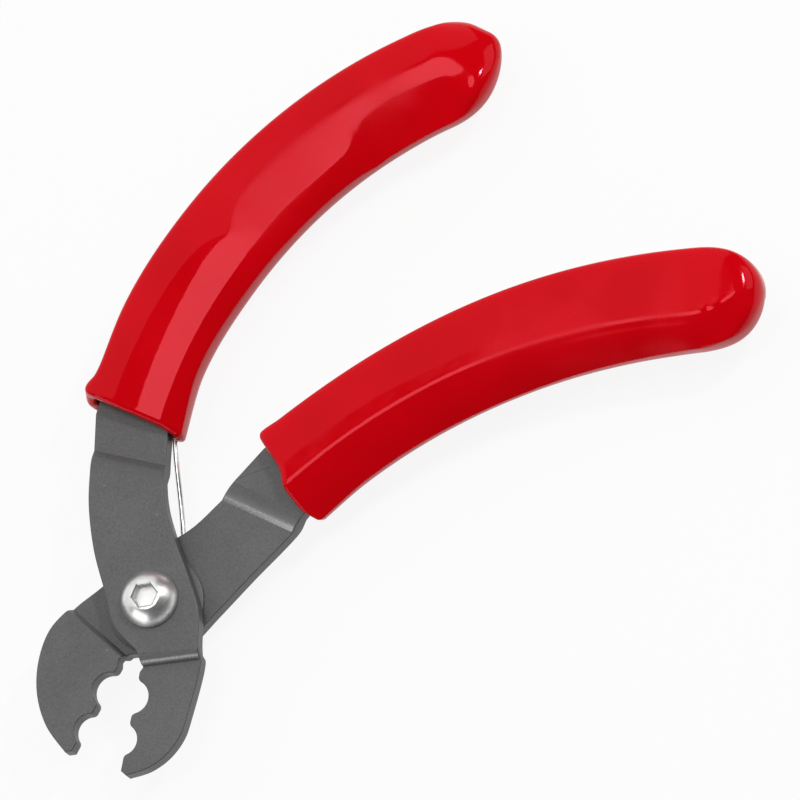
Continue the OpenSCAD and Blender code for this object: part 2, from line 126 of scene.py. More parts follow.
class LeverSettings(bpy.types.PropertyGroup):
    """Sizes of the two plate levers."""

    edge_round: length("Edge rounding", "Radius of the rounded edges of the plates", 0.26)
    tang_width: length("Tang width", "Width of the tang inside each grip", 14.2)
    tang_length: length("Tang length", "Length of each tang inside its grip", 82)
    bore: length("Bore", "Diameter of the hole for the screw", 6.1)
    close_notch: length("Closing notch", "Radius of the notch near the pivot", 3.1)
    open_notch: length("Opening notch", "Radius of the notch near the tips", 2.9)
    jaw_line: angle("Jaw line", "Direction of the line on which the jaws close", 203.5)
    jaw_open: angle("Jaw opening", "Angle between the rows of teeth at rest", 18.8)


class GripSettings(bpy.types.PropertyGroup):
    """Sizes of the two sleeve grips."""

    front_length: length("Front length", "Length of the front grip along its bow", 96.2)
    rear_length: length("Rear length", "Length of the rear grip along its bow", 92.4)
    half_height: length("Half height", "Half the height of a grip", 5.2)
    wall: length("Wall", "Thickness of the sleeve at its open mouth", 2.1)
    front_dome: length("Front dome", "Length of the front grip's rounded far end", 13.5)
    rear_dome: length("Rear dome", "Length of the rear grip's rounded far end", 11.8)


class PivotSettings(bpy.types.PropertyGroup):
    """Sizes of the screw, washers and nut."""

    screw_width: length("Screw", "Diameter of the screw", 6)
    head_width: length("Head", "Diameter of the button head", 10.5)
    socket_width: length("Socket", "Width across the flats of the socket", 4)
    socket_depth: length("Socket depth", "Depth of the socket", 2.1)
    thread_pitch: length("Thread pitch", "Rise of the thread in one turn", 1)
    thrust_width: length("Thrust washer", "Diameter of the washer between the levers", 18)
    flat_width: length("Flat washer", "Diameter of the washer under the nut", 11)
    nut_width: length("Nut", "Width across the flats of the nut", 10)


class SpringSettings(bpy.types.PropertyGroup):
    """Sizes of the return spring."""

    wire: length("Wire", "Diameter of the wire", 1)
    coil: length("Coil", "Radius of the coil at the middle of its wire", 7.2)
    gap: length("Gap", "Space between the turns", 0.5)


class FinishSettings(bpy.types.PropertyGroup):
    """Colours of the finishes."""

    plate: colour("Plate", "Dark grey oxide of the levers", 0.1, 0.1, 0.1)
    # The worn colour also lightens the bends, partly as polish from rubbing and partly as a painted
    # highlight
    worn: colour("Worn plate", "Bare steel on worn edges", 0.5, 0.5, 0.5)
    vinyl: colour("Vinyl", "Red of the grips", 0.61, 0.0, 0.004)
    vinyl_deep: colour("Deep vinyl", "Darker red in the vinyl's mottle", 0.56, 0.0, 0.003)
    sheen: colour("Vinyl sheen", "Tint of the reflections in the vinyl", 1.0, 0.2, 0.26)
    bright: colour("Bright steel", "Polished steel of the screw", 0.83, 0.83, 0.82)
    zinc: colour("Plain steel", "Plated steel of the nut and washers", 0.62, 0.63, 0.64)
    wire: colour("Wire", "Drawn steel of the spring", 0.76, 0.76, 0.75)
    nylon: colour("Nylon", "Plastic ring in the nut", 0.80, 0.79, 0.72)
    dust: colour("Dust", "Pale specks of dust", 0.75, 0.68, 0.66)


class StageSettings(bpy.types.PropertyGroup):
    """The floor, the lamps and the camera."""

    floor: colour("Floor", "Colour of the floor", 0.8, 0.8, 0.8)
    sky: colour("Room", "Dim light of the room", 0.12, 0.12, 0.12)
    right_lamp: power("Right lamp", "Power of the square lamp on the handle side", 0.8)
    left_lamp: power("Left lamp", "Power of the wide lamp on the jaw side", 1.3)
    glint_lamp: power("Glint lamp", "Power of the small lamp that makes the glints", 1.6)
    top_lamp: power("Top lamp", "Power of the lamp overhead", 1.62)
    back_lamp: power("Back lamp", "Power of the broad lamp behind the handles", 12.0)
    lens: bpy.props.FloatProperty(
        name="Lens", description="Focal length of the camera in millimetres", default=600.0, min=50.0,
        unit="CAMERA")


# Plain geometry

def polar(radius, degrees):
    """Return the plan point at a distance and direction."""
    turn = math.radians(degrees)
    return Vector((radius * math.cos(turn), radius * math.sin(turn)))


def turned(point, degrees):
    """Return a plan point turned about the pivot axis."""
    return Vector(point) @ Matrix.Rotation(-math.radians(degrees), 2)


def lerp(a, b, t):
    """Return the value at a share of the way from one value to another."""
    return a + (b - a) * t


def ease(t):
    """Return a share that starts and stops gently."""
    u = min(max(t, 0.0), 1.0)
    return u * u * (3.0 - 2.0 * u)


def ease_between(value, start, stop):
    """Return how far a value is between two others, gently."""
    return ease((value - start) / (stop - start))


def inside(value, start, stop):
    """Return how far a value is inside a stretch that begins and ends over two spans, gently."""
    return ease_between(value, *start) * (1 - ease_between(value, *stop))


def fall_of(degrees):
    """Return how far a face of some tilt falls in one step across it."""
    return math.tan(math.radians(degrees))


def bump_at(value, middle, width):
    """Return a smooth hump of height one about a place."""
    return math.exp(-((value - middle) / width) ** 2)


def arc(centre, radius, start, stop, steps):
    """Return points along an arc, with both its ends."""
    return [Vector(centre) + polar(radius, lerp(start, stop, i / steps)) for i in range(steps + 1)]


def curve_point(points, i, t):
    """Return a point between two neighbours of a smooth curve."""
    before = points[max(i - 1, 0)]
    here = points[i]
    there = points[i + 1]
    after = points[min(i + 2, len(points) - 1)]
    square = (2 * before - 5 * here + 4 * there - after) * t * t
    cube = (3 * here - before - 3 * there + after) * t ** 3
    return 0.5 * (2 * here + (there - before) * t + square + cube)


def smooth_curve(points, spacing):
    """Return a fine curve through chosen points, with both its ends, its points about evenly spaced."""
    fixed = [Vector(point) for point in points]
    fine = []
    for i in range(len(fixed) - 1):
        steps = max(round((fixed[i + 1] - fixed[i]).length / spacing), 1)
        fine += [curve_point(fixed, i, k / steps) for k in range(steps)]
    return fine + [fixed[-1]]


def table_slope(table, i):
    """Return the slope of a smooth curve at one of its places, level at both ends."""
    if i in (0, len(table) - 1):
        return 0.0
    return (table[i + 1][1] - table[i - 1][1]) / (table[i + 1][0] - table[i - 1][0])


def along_table(table, along):
    """Return the value at a place on a smooth curve through a short list of places and values."""
    if along <= table[0][0]:
        return table[0][1]
    for i, ((start, first), (stop, last)) in enumerate(zip(table, table[1:])):
        if along <= stop:
            span = stop - start
            t = (along - start) / span
            leave = table_slope(table, i) * span * t * (1 - t) ** 2
            arrive = table_slope(table, i + 1) * span * t * t * (1 - t)
            return lerp(first, last, ease(t)) + leave - arrive
    return table[-1][1]


class Handle:
    """The bowed middle line of one handle, from the middle of its grip's mouth."""

    def __init__(self, mouth, heading, bow):
        self.bow = bow
        self.start = heading + 90
        self.centre = Vector(mouth) - polar(bow, self.start)

    def point(self, along, left):
        """Return the plan point at a length along the handle and a distance to its left."""
        return self.centre + polar(self.bow + left, self.start - math.degrees(along / self.bow))


FRONT_HANDLE = Handle(mouth=(22.1, 26.4), heading=26.8, bow=88.4)
REAR_HANDLE = Handle(mouth=(33.4, -3.6), heading=-7.9, bow=121.8)


# Meshes and pieces

def new_mesh(name, points, faces):
    """Return a mesh from points in millimetres."""
    mesh = bpy.data.meshes.new(name)
    mesh.from_pydata([Vector(point) * MM for point in points], [], faces)
    mesh.validate()
    return mesh


def smooth_mesh(mesh, sharp_degrees):
    """Shade a mesh smooth, apart from edges sharper than an angle."""
    for face in mesh.polygons:
        face.use_smooth = True
    mesh.set_sharp_from_angle(angle=math.radians(sharp_degrees))


def new_piece(mesh, material, node, body):
    """Put a mesh in the scene as the piece that stands for a solid and moves with its body."""
    piece = bpy.data.objects.new(mesh.name, mesh)
    bpy.context.scene.collection.objects.link(piece)
    mesh.materials.append(material)
    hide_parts(node)
    if body:
        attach(piece, body)
    return piece


def skin_faces(ring_count, sides):
    """Return the faces between rings of equal length."""
    faces = []
    for ring in range(ring_count - 1):
        for k in range(sides):
            a = ring * sides + k
            b = ring * sides + (k + 1) % sides
            faces.append((a, b, b + sides, a + sides))
    return faces


def closed_skin(rings, start_tip, end_tip):
    """Return the points and faces of a skin of rings with a point at each end."""
    sides = len(rings[0])
    points = [point for ring in rings for point in ring]
    count = len(points)
    points += [start_tip, end_tip]
    faces = skin_faces(len(rings), sides)
    for k in range(sides):
        following = (k + 1) % sides
        faces.append((count, following, k))
        last = count - sides
        faces.append((last + k, last + following, count + 1))
    return points, faces


def ring_skin(rings):
    """Return the points and faces of a skin whose last ring joins its first."""
    points = [point for ring in rings for point in ring]
    faces = skin_faces(len(rings) + 1, len(rings[0]))
    return points, [[index % len(points) for index in face] for face in faces]


# Node trees

class Sketch:
    """Adds nodes to a tree and links their sockets."""

    def __init__(self, tree):
        self.tree = tree
        self.tree.nodes.clear()

    def add(self, kind, inputs=None, **settings):
        """Add a node with its settings, and its inputs as values or sockets."""
        node = self.tree.nodes.new(kind)
        for name, value in settings.items():
            setattr(node, name, value)
        for name, value in (inputs or {}).items():
            self.feed(node.inputs[name], value)
        return node

    def feed(self, socket, value):
        """Link a socket, or set its value."""
        if isinstance(value, bpy.types.NodeSocket):
            self.tree.links.new(value, socket)
        else:
            socket.default_value = value

    def maths(self, operation, first, second=0.0):
        """Add an operation on two values and return its result."""
        return self.add("ShaderNodeMath", {0: first, 1: second}, operation=operation).outputs[0]

    def spread(self, value, source, target=(0.0, 1.0)):
        """Add a gentle remapping of a value from one range to another and return its result."""
        node = self.add("ShaderNodeMapRange", {"Value": value}, interpolation_type="SMOOTHSTEP")
        for name, limits in (("From", source), ("To", target)):
            self.feed(node.inputs[f"{name} Min"], limits[0])
            self.feed(node.inputs[f"{name} Max"], limits[1])
        return node.outputs["Result"]

    def mix(self, mask, first, second):
        """Add a mix of two colours and return its result."""
        node = self.add("ShaderNodeMix", data_type="RGBA")
        self.feed(node.inputs[0], mask)
        self.feed(node.inputs[6], first)
        self.feed(node.inputs[7], second)
        return node.outputs[2]

    def shaded(self, tone, shade):
        """Add a colour made lighter and darker by a value and return its result."""
        node = self.add("ShaderNodeVectorMath", {0: tone[:3], "Scale": shade}, operation="SCALE")
        return node.outputs[0]

    def noise(self, vector, scale, detail=2.0, roughness=0.5):
        """Add a noise and return its value."""
        inputs = {"Vector": vector, "Scale": scale, "Detail": detail, "Roughness": roughness}
        return self.add("ShaderNodeTexNoise", inputs).outputs["Fac"]

    def group(self, tree, inputs):
        """Add a node group with its own values."""
        node = self.add("ShaderNodeGroup", node_tree=tree)
        for name, value in inputs.items():
            self.feed(node.inputs[name], value)
        return node.outputs


def new_group(name, inputs, outputs):
    """Return a new node group with its sockets, its sketch and its input and output nodes."""
    tree = bpy.data.node_groups.new(name, "ShaderNodeTree")
    for socket, value in inputs.items():
        row = tree.interface.new_socket(socket, in_out="INPUT", socket_type="NodeSocketFloat")
        row.default_value = value
    for socket in outputs:
        tree.interface.new_socket(socket, in_out="OUTPUT", socket_type="NodeSocketFloat")
    sketch = Sketch(tree)
    entry = sketch.add("NodeGroupInput")
    leave = sketch.add("NodeGroupOutput")
    return tree, sketch, entry.outputs, leave.inputs


def made_once(kind, name):
    """Let a builder run once: asked again, it returns the data block of its name."""
    def keep(build):
        @functools.wraps(build)
        def find():
            return getattr(bpy.data, kind).get(name) or build(name)
        return find
    return keep


@made_once("node_groups", "Grain and mottle")
def grain_group(name):
    """Fine grain and slow mottle, from noise in the piece's own space."""
    tree, sketch, entry, leave = new_group(
        name, {"Grain scale": 3000.0, "Mottle scale": 120.0}, ["Grain", "Mottle"])
    place = sketch.add("ShaderNodeTexCoord").outputs["Object"]
    sketch.feed(leave["Grain"], sketch.noise(place, entry["Grain scale"], detail=4.0, roughness=0.6))
    slow = sketch.noise(place, entry["Mottle scale"], detail=3.0)
    sketch.feed(leave["Mottle"], sketch.spread(slow, (0.3, 0.7)))
    return tree


@made_once("node_groups", "Edge wear")
def wear_group(name):
    """Worn edges, where a rounded normal departs from the face's own, broken up by noise."""
    tree, sketch, entry, leave = new_group(
        name, {"Radius": 0.0004, "Low": 0.02, "High": 0.2, "Break scale": 900.0}, ["Mask"])
    place = sketch.add("ShaderNodeTexCoord").outputs["Object"]
    rounded = sketch.add("ShaderNodeBevel", {"Radius": entry["Radius"]}, samples=6).outputs["Normal"]
    own = sketch.add("ShaderNodeNewGeometry").outputs["Normal"]
    agree = sketch.add("ShaderNodeVectorMath", {0: rounded, 1: own}, operation="DOT_PRODUCT")
    apart = sketch.maths("SUBTRACT", 1.0, agree.outputs["Value"])
    edge = sketch.spread(apart, (entry["Low"], entry["High"]))
    patches = sketch.noise(place, entry["Break scale"], detail=3.0, roughness=0.65)
    broken = sketch.spread(patches, (0.35, 0.62))
    sketch.feed(leave["Mask"], sketch.maths("MULTIPLY", edge, broken))
    return tree


@made_once("node_groups", "Dust specks")
def dust_group(name):
    """Sparse round specks of dust."""
    tree, sketch, entry, leave = new_group(
        name, {"Scale": 130.0, "Size": 0.05, "Amount": 0.06}, ["Mask"])
    place = sketch.add("ShaderNodeTexCoord").outputs["Object"]
    cells = sketch.add("ShaderNodeTexVoronoi", {"Vector": place, "Scale": entry["Scale"]})
    near = sketch.maths("LESS_THAN", cells.outputs["Distance"], entry["Size"])
    pick = sketch.add("ShaderNodeSeparateColor", {0: cells.outputs["Color"]}).outputs["Red"]
    chosen = sketch.maths("LESS_THAN", pick, entry["Amount"])
    sketch.feed(leave["Mask"], sketch.maths("MULTIPLY", near, chosen))
    return tree


def new_material(name):
    """Return a new material with its sketch and its main shader."""
    material = bpy.data.materials.new(name)
    material.use_nodes = True
    sketch = Sketch(material.node_tree)
    shader = sketch.add("ShaderNodeBsdfPrincipled")
    sketch.add("ShaderNodeOutputMaterial", {"Surface": shader.outputs[0]})
    return material, sketch, shader.inputs


def bump(sketch, height, strength, distance):
    """Add a bump from a height and return its normal."""
    inputs = {"Height": height, "Strength": strength, "Distance": distance}
    return sketch.add("ShaderNodeBump", inputs).outputs["Normal"]


# Names of the marks on the bends, partly rubbed and partly a painted highlight, and on the vinyl that hands
# have dulled
POLISH_HIGHLIGHT_MARK = "rubbed"
HAND_MARK = "handled"
# How far specks, worn edges and bends (partly rubbed, partly a painted highlight) show on the dark plate,
# and how much edges and bends smooth it
SPECK_SHARE = 0.18
EDGE_SHARE = 0.2
BEND_SHARE = 0.5
RUB_SMOOTHING = 0.3
# Roughness of the dust on the vinyl
DUST_ROUGHNESS = 0.6
# Steel that wear has laid bare on the edges of bright pieces, and how far it shows
BARE_EDGE = (0.92, 0.92, 0.9, 1.0)
BARE_SHARE = 0.5


@made_once("materials", "oxide_plate")
def dark_steel(name):
    """Oxide-dark steel plate: speckled grey, worn bright along edges, and lightened along bends partly by
    rubbing and partly as a painted highlight.
    """
    finish = bpy.context.scene.pliers_finish
    material, sketch, shader = new_material(name)
    grain = sketch.group(grain_group(), {"Grain scale": 3400.0, "Mottle scale": 90.0})
    worn = sketch.group(wear_group(), {"Radius": 0.00035, "Low": 0.03, "High": 0.22, "Break scale": 700.0})
    specks = sketch.group(dust_group(), {"Scale": 420.0, "Size": 0.08, "Amount": 0.05})
    shade = sketch.spread(grain["Grain"], (0.3, 0.7), (0.8, 1.2))
    patch = sketch.spread(grain["Mottle"], (0.0, 1.0), (0.95, 1.05))
    tone = sketch.shaded(finish.plate, sketch.maths("MULTIPLY", shade, patch))
    speckled = sketch.mix(sketch.maths("MULTIPLY", specks["Mask"], SPECK_SHARE), tone, finish.worn)
    edge = sketch.maths("MULTIPLY", worn["Mask"], EDGE_SHARE)
    bend = sketch.add("ShaderNodeAttribute", attribute_name=POLISH_HIGHLIGHT_MARK).outputs["Fac"]
    # The bends' mark lightens the plate and makes it more metallic: partly rubbed polish, partly a painted
    # highlight
    rubbed = sketch.maths("MAXIMUM", edge, sketch.maths("MULTIPLY", bend, BEND_SHARE))
    sketch.feed(shader["Base Color"], sketch.mix(rubbed, speckled, finish.worn))
    sketch.feed(shader["Metallic"], sketch.spread(rubbed, (0.0, 0.5), (0.2, 0.75)))
    dull = sketch.spread(grain["Grain"], (0.3, 0.7), (0.40, 0.50))
    polish = sketch.maths("MULTIPLY", rubbed, RUB_SMOOTHING)
    sketch.feed(shader["Roughness"], sketch.maths("SUBTRACT", dull, polish))
    sketch.feed(shader["Normal"], bump(sketch, grain["Grain"], strength=0.12, distance=0.0001))
    return material


@made_once("materials", "dipped_vinyl")
def red_vinyl(name):
    """Glossy dipped vinyl: slow mottle, faint orange peel and a few specks of dust."""
    finish = bpy.context.scene.pliers_finish
    material, sketch, shader = new_material(name)
    grain = sketch.group(grain_group(), {"Grain scale": 700.0, "Mottle scale": 60.0})
    specks = sketch.group(dust_group(), {"Scale": 150.0, "Size": 0.032, "Amount": 0.05})
    body = sketch.mix(grain["Mottle"], finish.vinyl_deep, finish.vinyl)
    sketch.feed(shader["Base Color"], sketch.mix(specks["Mask"], body, finish.dust))
    gloss = sketch.spread(grain["Mottle"], (0.0, 1.0), (0.06, 0.09))
    handled = sketch.add("ShaderNodeAttribute", attribute_name=HAND_MARK).outputs["Fac"]
    smudge = sketch.maths("MULTIPLY", handled, sketch.spread(grain["Mottle"], (0.0, 1.0), (0.08, 0.2)))
    dull = sketch.maths("MULTIPLY", specks["Mask"], DUST_ROUGHNESS)
    sketch.feed(shader["Roughness"], sketch.maths("MAXIMUM", sketch.maths("ADD", gloss, smudge), dull))
    shader["Specular Tint"].default_value = finish.sheen
    peel = sketch.maths("MULTIPLY", grain["Grain"], sketch.spread(handled, (0.0, 1.0), (0.06, 0.14)))
    ripple = sketch.maths("ADD", grain["Mottle"], peel)
    sketch.feed(shader["Normal"], bump(sketch, ripple, strength=0.16, distance=0.0002))
    return material


def bare_steel(name, tone, smooth, rough, grain_scale):
    """Bare steel with fine marks: its tone, its roughness range and the scale of its grain."""
    material, sketch, shader = new_material(name)
    grain = sketch.group(grain_group(), {"Grain scale": grain_scale, "Mottle scale": 260.0})
    worn = sketch.group(wear_group(), {"Radius": 0.00025, "Low": 0.03, "High": 0.3, "Break scale": 1500.0})
    marked = sketch.shaded(tone, sketch.spread(grain["Mottle"], (0.0, 1.0), (0.9, 1.06)))
    edge = sketch.maths("MULTIPLY", worn["Mask"], BARE_SHARE)
    sketch.feed(shader["Base Color"], sketch.mix(edge, marked, BARE_EDGE))
    shader["Metallic"].default_value = 1.0
    sketch.feed(shader["Roughness"], sketch.spread(grain["Grain"], (0.25, 0.75), (smooth, rough)))
    sketch.feed(shader["Normal"], bump(sketch, grain["Grain"], strength=0.03, distance=0.00005))
    return material


@made_once("materials", "polished_steel")
def bright_steel(name):
    """Polished steel of the screw."""
    return bare_steel(name, bpy.context.scene.pliers_finish.bright, 0.28, 0.38, 2600.0)


@made_once("materials", "zinc_steel")
def plain_steel(name):
    """Plated steel of the nut and washers."""
    return bare_steel(name, bpy.context.scene.pliers_finish.zinc, 0.26, 0.42, 3200.0)


@made_once("materials", "drawn_wire")
def spring_wire(name):
    """Drawn wire, with fine lines along its length."""
    finish = bpy.context.scene.pliers_finish
    material, sketch, shader = new_material(name)
    place = sketch.add("ShaderNodeUVMap", uv_map="Wire").outputs["UV"]
    along = sketch.add("ShaderNodeMapping", {"Vector": place, "Scale": (150.0, 22.0, 1.0)})
    lines = sketch.noise(along.outputs["Vector"], 1.0, detail=3.0)
    grain = sketch.group(grain_group(), {"Grain scale": 4000.0, "Mottle scale": 300.0})
    shade = sketch.spread(lines, (0.3, 0.7), (0.86, 1.08))
    sketch.feed(shader["Base Color"], sketch.shaded(finish.wire, shade))
    shader["Metallic"].default_value = 1.0
    sketch.feed(shader["Roughness"], sketch.spread(grain["Mottle"], (0.0, 1.0), (0.14, 0.24)))
    sketch.feed(shader["Normal"], bump(sketch, lines, strength=0.1, distance=0.00004))
    return material


@made_once("materials", "milky_nylon")
def nylon(name):
    """Milky plastic with a faint grain."""
    finish = bpy.context.scene.pliers_finish
    material, sketch, shader = new_material(name)
    grain = sketch.group(grain_group(), {"Grain scale": 1800.0, "Mottle scale": 400.0})
    shade = sketch.spread(grain["Mottle"], (0.0, 1.0), (0.93, 1.04))
    sketch.feed(shader["Base Color"], sketch.shaded(finish.nylon, shade))
    sketch.feed(shader["Roughness"], sketch.spread(grain["Grain"], (0.3, 0.7), (0.36, 0.5)))
    sketch.feed(shader["Normal"], bump(sketch, grain["Grain"], strength=0.08, distance=0.00006))
    return material


# Plans of the levers

CURVE_SPACING = 0.8
ARC_STEPS = 14
OUTER_STEPS = 4
TOOTH_STEPS = 8
TANG_STEPS = 30
CORNER_STEPS = 8
# Places of the two notches and of the root along the row of teeth, from the pivot, and their depths
CLOSE_AT = 17.5
CLOSE_DEPTH = 2.5
OPEN_AT = 25.4
OPEN_DEPTH = 1.9
ROOT = 12
ROOT_RISE = 0.45
ROOT_SLOPE = 0.9
# Radius of the teeth, and what is cut off and what is left at the tip of a jaw
TOOTH_ROUND = 1.0
NOSE = 0.7
TIP_WIDTH = 1.1
# Where the tang begins, ahead of its grip's mouth, and the radius of its far corners
TANG_LEAD = -1
TANG_CORNER = 5


def notch_edge(at, radius, depth):
    """Return one notch with the rounded teeth beside it, from the tip's side to the root's."""
    low = depth - radius
    reach = math.sqrt((radius + TOOTH_ROUND) ** 2 - (TOOTH_ROUND - low) ** 2)
    lean = math.degrees(math.atan2(TOOTH_ROUND - low, reach))
    return (arc((at + reach, TOOTH_ROUND), TOOTH_ROUND, 270, 180 + lean, TOOTH_STEPS)
            + arc((at, low), radius, lean, 180 - lean, ARC_STEPS)[1:-1]
            + arc((at - reach, TOOTH_ROUND), TOOTH_ROUND, -lean, -90, TOOTH_STEPS))


def tooth_edge(sizes, reach):
    """Return the teeth of one jaw from its tip to its root."""
    return ([Vector((reach - NOSE, 0))]
            + notch_edge(OPEN_AT, sizes.open_notch / MM, OPEN_DEPTH)
            + notch_edge(CLOSE_AT, sizes.close_notch / MM, CLOSE_DEPTH)
            + [Vector((ROOT + ROOT_SLOPE, 0)), Vector((ROOT, ROOT_RISE))])


def outer_edge(lever):
    """Return places on the outer edge of a lever's jaw, from its widest one to its tip."""
    span = lever["reach"] - lever["belly"]
    rise = lever["width"] - TIP_WIDTH
    radius = (span * span + rise * rise) / (2 * rise)
    stop = math.degrees(math.atan2(radius - rise, span))
    return arc((lever["belly"], lever["width"] - radius), radius, 90, stop, OUTER_STEPS)


def jaw_place(sizes, side, points):
    """Return jaw distances as plan points."""
    direction = math.degrees(sizes.jaw_line + side * sizes.jaw_open / 2)
    return [turned((point[0], side * point[1]), direction) for point in points]


def tang_edge(sizes, handle, side):
    """Return the tang's outline, out along one side and back along the other."""
    half = sizes.tang_width / MM / 2
    reach = sizes.tang_length / MM
    flat_end = reach - TANG_CORNER
    flats = [lerp(TANG_LEAD, flat_end, i / TANG_STEPS) for i in range(1, TANG_STEPS + 1)]
    corners = [90 * i / CORNER_STEPS for i in range(1, CORNER_STEPS + 1)]

    def corner(degrees, hand):
        turn = math.radians(degrees)
        back = TANG_CORNER * (1 - math.sin(turn))
        inward = TANG_CORNER * (1 - math.cos(turn))
        return handle.point(reach - back, hand * (half - inward))

    return ([handle.point(flat, side * half) for flat in flats]
            + [corner(degrees, side) for degrees in corners]
            + [corner(degrees, -side) for degrees in reversed(corners[:-1])]
            + [handle.point(flat, -side * half) for flat in reversed(flats)])


def lever_plan(sizes, lever):
    """Return the outline of a lever: its teeth, one side, its tang, the other side and its outer edge."""
    side = lever["side"]
    handle = lever["handle"]
    half = side * sizes.tang_width / MM / 2
    teeth = jaw_place(sizes, side, tooth_edge(sizes, lever["reach"]))
    outer = jaw_place(sizes, side, outer_edge(lever))
    out = smooth_curve([teeth[-1], *lever["out"], handle.point(TANG_LEAD, half)], CURVE_SPACING)
    back = smooth_curve([handle.point(TANG_LEAD, -half), *lever["back"], *outer], CURVE_SPACING)
    return teeth + out[1:] + tang_edge(sizes, handle, side) + back


BEND_STEPS = 16


def climb(steepness, radius):
    """Return the run and rise of a bend's face, from its sharp foot to its rounded brow."""
    slope = math.radians(steepness)
    run = radius * math.sin(slope) + (JOGGLE - radius * (1 - math.cos(slope))) / math.tan(slope)
    turns = [slope * (1 - i / BEND_STEPS) for i in range(BEND_STEPS + 1)]
    brow = [(run - radius * math.sin(a), JOGGLE - radius * (1 - math.cos(a))) for a in turns]
    return [(0.0, 0.0)] + brow


def climb_from(profile, run):
    """Return a bend's face the other way round, its sharp foot at the inner end of a run."""
    return [(run - x, JOGGLE - y) for x, y in reversed(profile)]


class Bend:
    """An offset bend at a distance and direction from the pivot, with the climbs of its two faces.

    Its last value says how far its faces are lightened, partly as polish from rubbing and partly as a
    painted highlight."""

    def __init__(self, distance, direction, upper, lower, polish_and_highlight):
        self.distance = distance
        self.ahead = polar(1, direction)
        self.upper = upper
        self.lower = lower
        self.polish_and_highlight = polish_and_highlight

    def inward(self, point):
        """Return how far a plan point lies inside the bend's foot."""
        return self.distance - self.ahead.dot(Vector(point[:2]))

    def rise(self, profile, point):
        """Return the height of one face's climb at a plan point."""
        inward = self.inward(point)
        if inward <= profile[0][0]:
            return 0.0
        for (start, low), (stop, high) in zip(profile, profile[1:]):
            if inward <= stop:
                return lerp(low, high, (inward - start) / (stop - start))
        return JOGGLE


# The faces seen from above have softer brows than the hidden ones
JAW_CLIMB = climb(72, 0.6)
JAW_RUN = JAW_CLIMB[-1][0]
HANDLE_CLIMB = climb(40, 3)
HANDLE_RUN = HANDLE_CLIMB[-1][0]
# Each lever's side of the jaw line, its handle, the reach, widest place and width of its jaw, places on its
# sides from jaw to tang and back, and its bends
LEVERS = {
    "front": {
        "side": 1, "handle": FRONT_HANDLE, "reach": 31.7, "belly": 19.6, "width": 10.4,
        "out": [(-8.4, -4.6), (-8.3, -2), polar(8, 164), (-4.7, 7), (-0.3, 14.3), (5.2, 21),
                (11.3, 26.4)],
        "back": [(19.2, 15.2), (14.6, 10.3), (11.3, 4.9), polar(8, -20), (4.4, -8.2), (0.2, -12.2),
                 (-3, -15.1)],
        # Each bend's last value lightens its faces, partly as polish from rubbing and partly as a painted
        # highlight
        "bends": [Bend(11.7, 227, climb(80, 2), climb_from(JAW_CLIMB, JAW_RUN), 1.0),
                  Bend(24.5, 28, climb(40, 4.5), climb_from(HANDLE_CLIMB, HANDLE_RUN), 0.0)],
    },
    "rear": {
        "side": -1, "handle": REAR_HANDLE, "reach": 30.9, "belly": 12.7, "width": 14.9,
        "out": [(-9.9, -2.6), (-8.6, -4), (-6, -6.4), polar(9.5, -100), (6, -9.8), (15, -10.1),
                (24, -10.6)],
        "back": [(26, 3.7), (20, 3.9), (12.8, 4.9), polar(9.5, 70), (-4.3, 10), (-9.9, 11.1)],
        "bends": [Bend(11.3, 181, JAW_CLIMB, climb_from(climb(66, 0.8), JAW_RUN), 0.2),
                  Bend(24.9, 16, HANDLE_CLIMB, climb_from(climb(40, 6), HANDLE_RUN), 1.0)],
    },
}
BORE_STEPS = 64
BEVEL_STEPS = 4
# The angle under which neighbouring faces are merged, and how near a point lies to count as on a cut
FLAT_LIMIT = math.radians(0.3)
CUT_SNAP = 0.01
# Upright part of the normals of faces that count as bends, from walls to flats, and where the bends' polish
# and painted highlight are full
SLOPE_LEAST = 0.05
SLOPE_MOST = 0.9995
POLISH_HIGHLIGHT_FULL = 0.79
# Name of the mark on a plate's walls, profile of its rounded rims, and angle above which edges stay sharp
WALL_MARK = "wall"
ROUND_PROFILE = 0.5
PLATE_SHARP = 35


def plate_sheet(plan, bends, bore):
    """Return a flat sheet with the lever's outline and bore, cut along the lines of its bends."""
    sheet = bmesh.new()
    for loop in (plan, [polar(bore / 2, 360 * i / BORE_STEPS) for i in range(BORE_STEPS)]):
        verts = [sheet.verts.new((point[0], point[1], 0)) for point in loop]
        for a, b in zip(verts, verts[1:] + verts[:1]):
            sheet.edges.new((a, b))
    bmesh.ops.triangle_fill(sheet, use_beauty=True, edges=sheet.edges[:], normal=(0, 0, 1))
    for bend in bends:
        for inward, _ in sorted(set(bend.upper + bend.lower)):
            place = bend.ahead * (bend.distance - inward)
            bmesh.ops.bisect_plane(
                sheet, geom=sheet.verts[:] + sheet.edges[:] + sheet.faces[:], dist=CUT_SNAP,
                plane_co=(place.x, place.y, 0), plane_no=(bend.ahead.x, bend.ahead.y, 0))
    return sheet


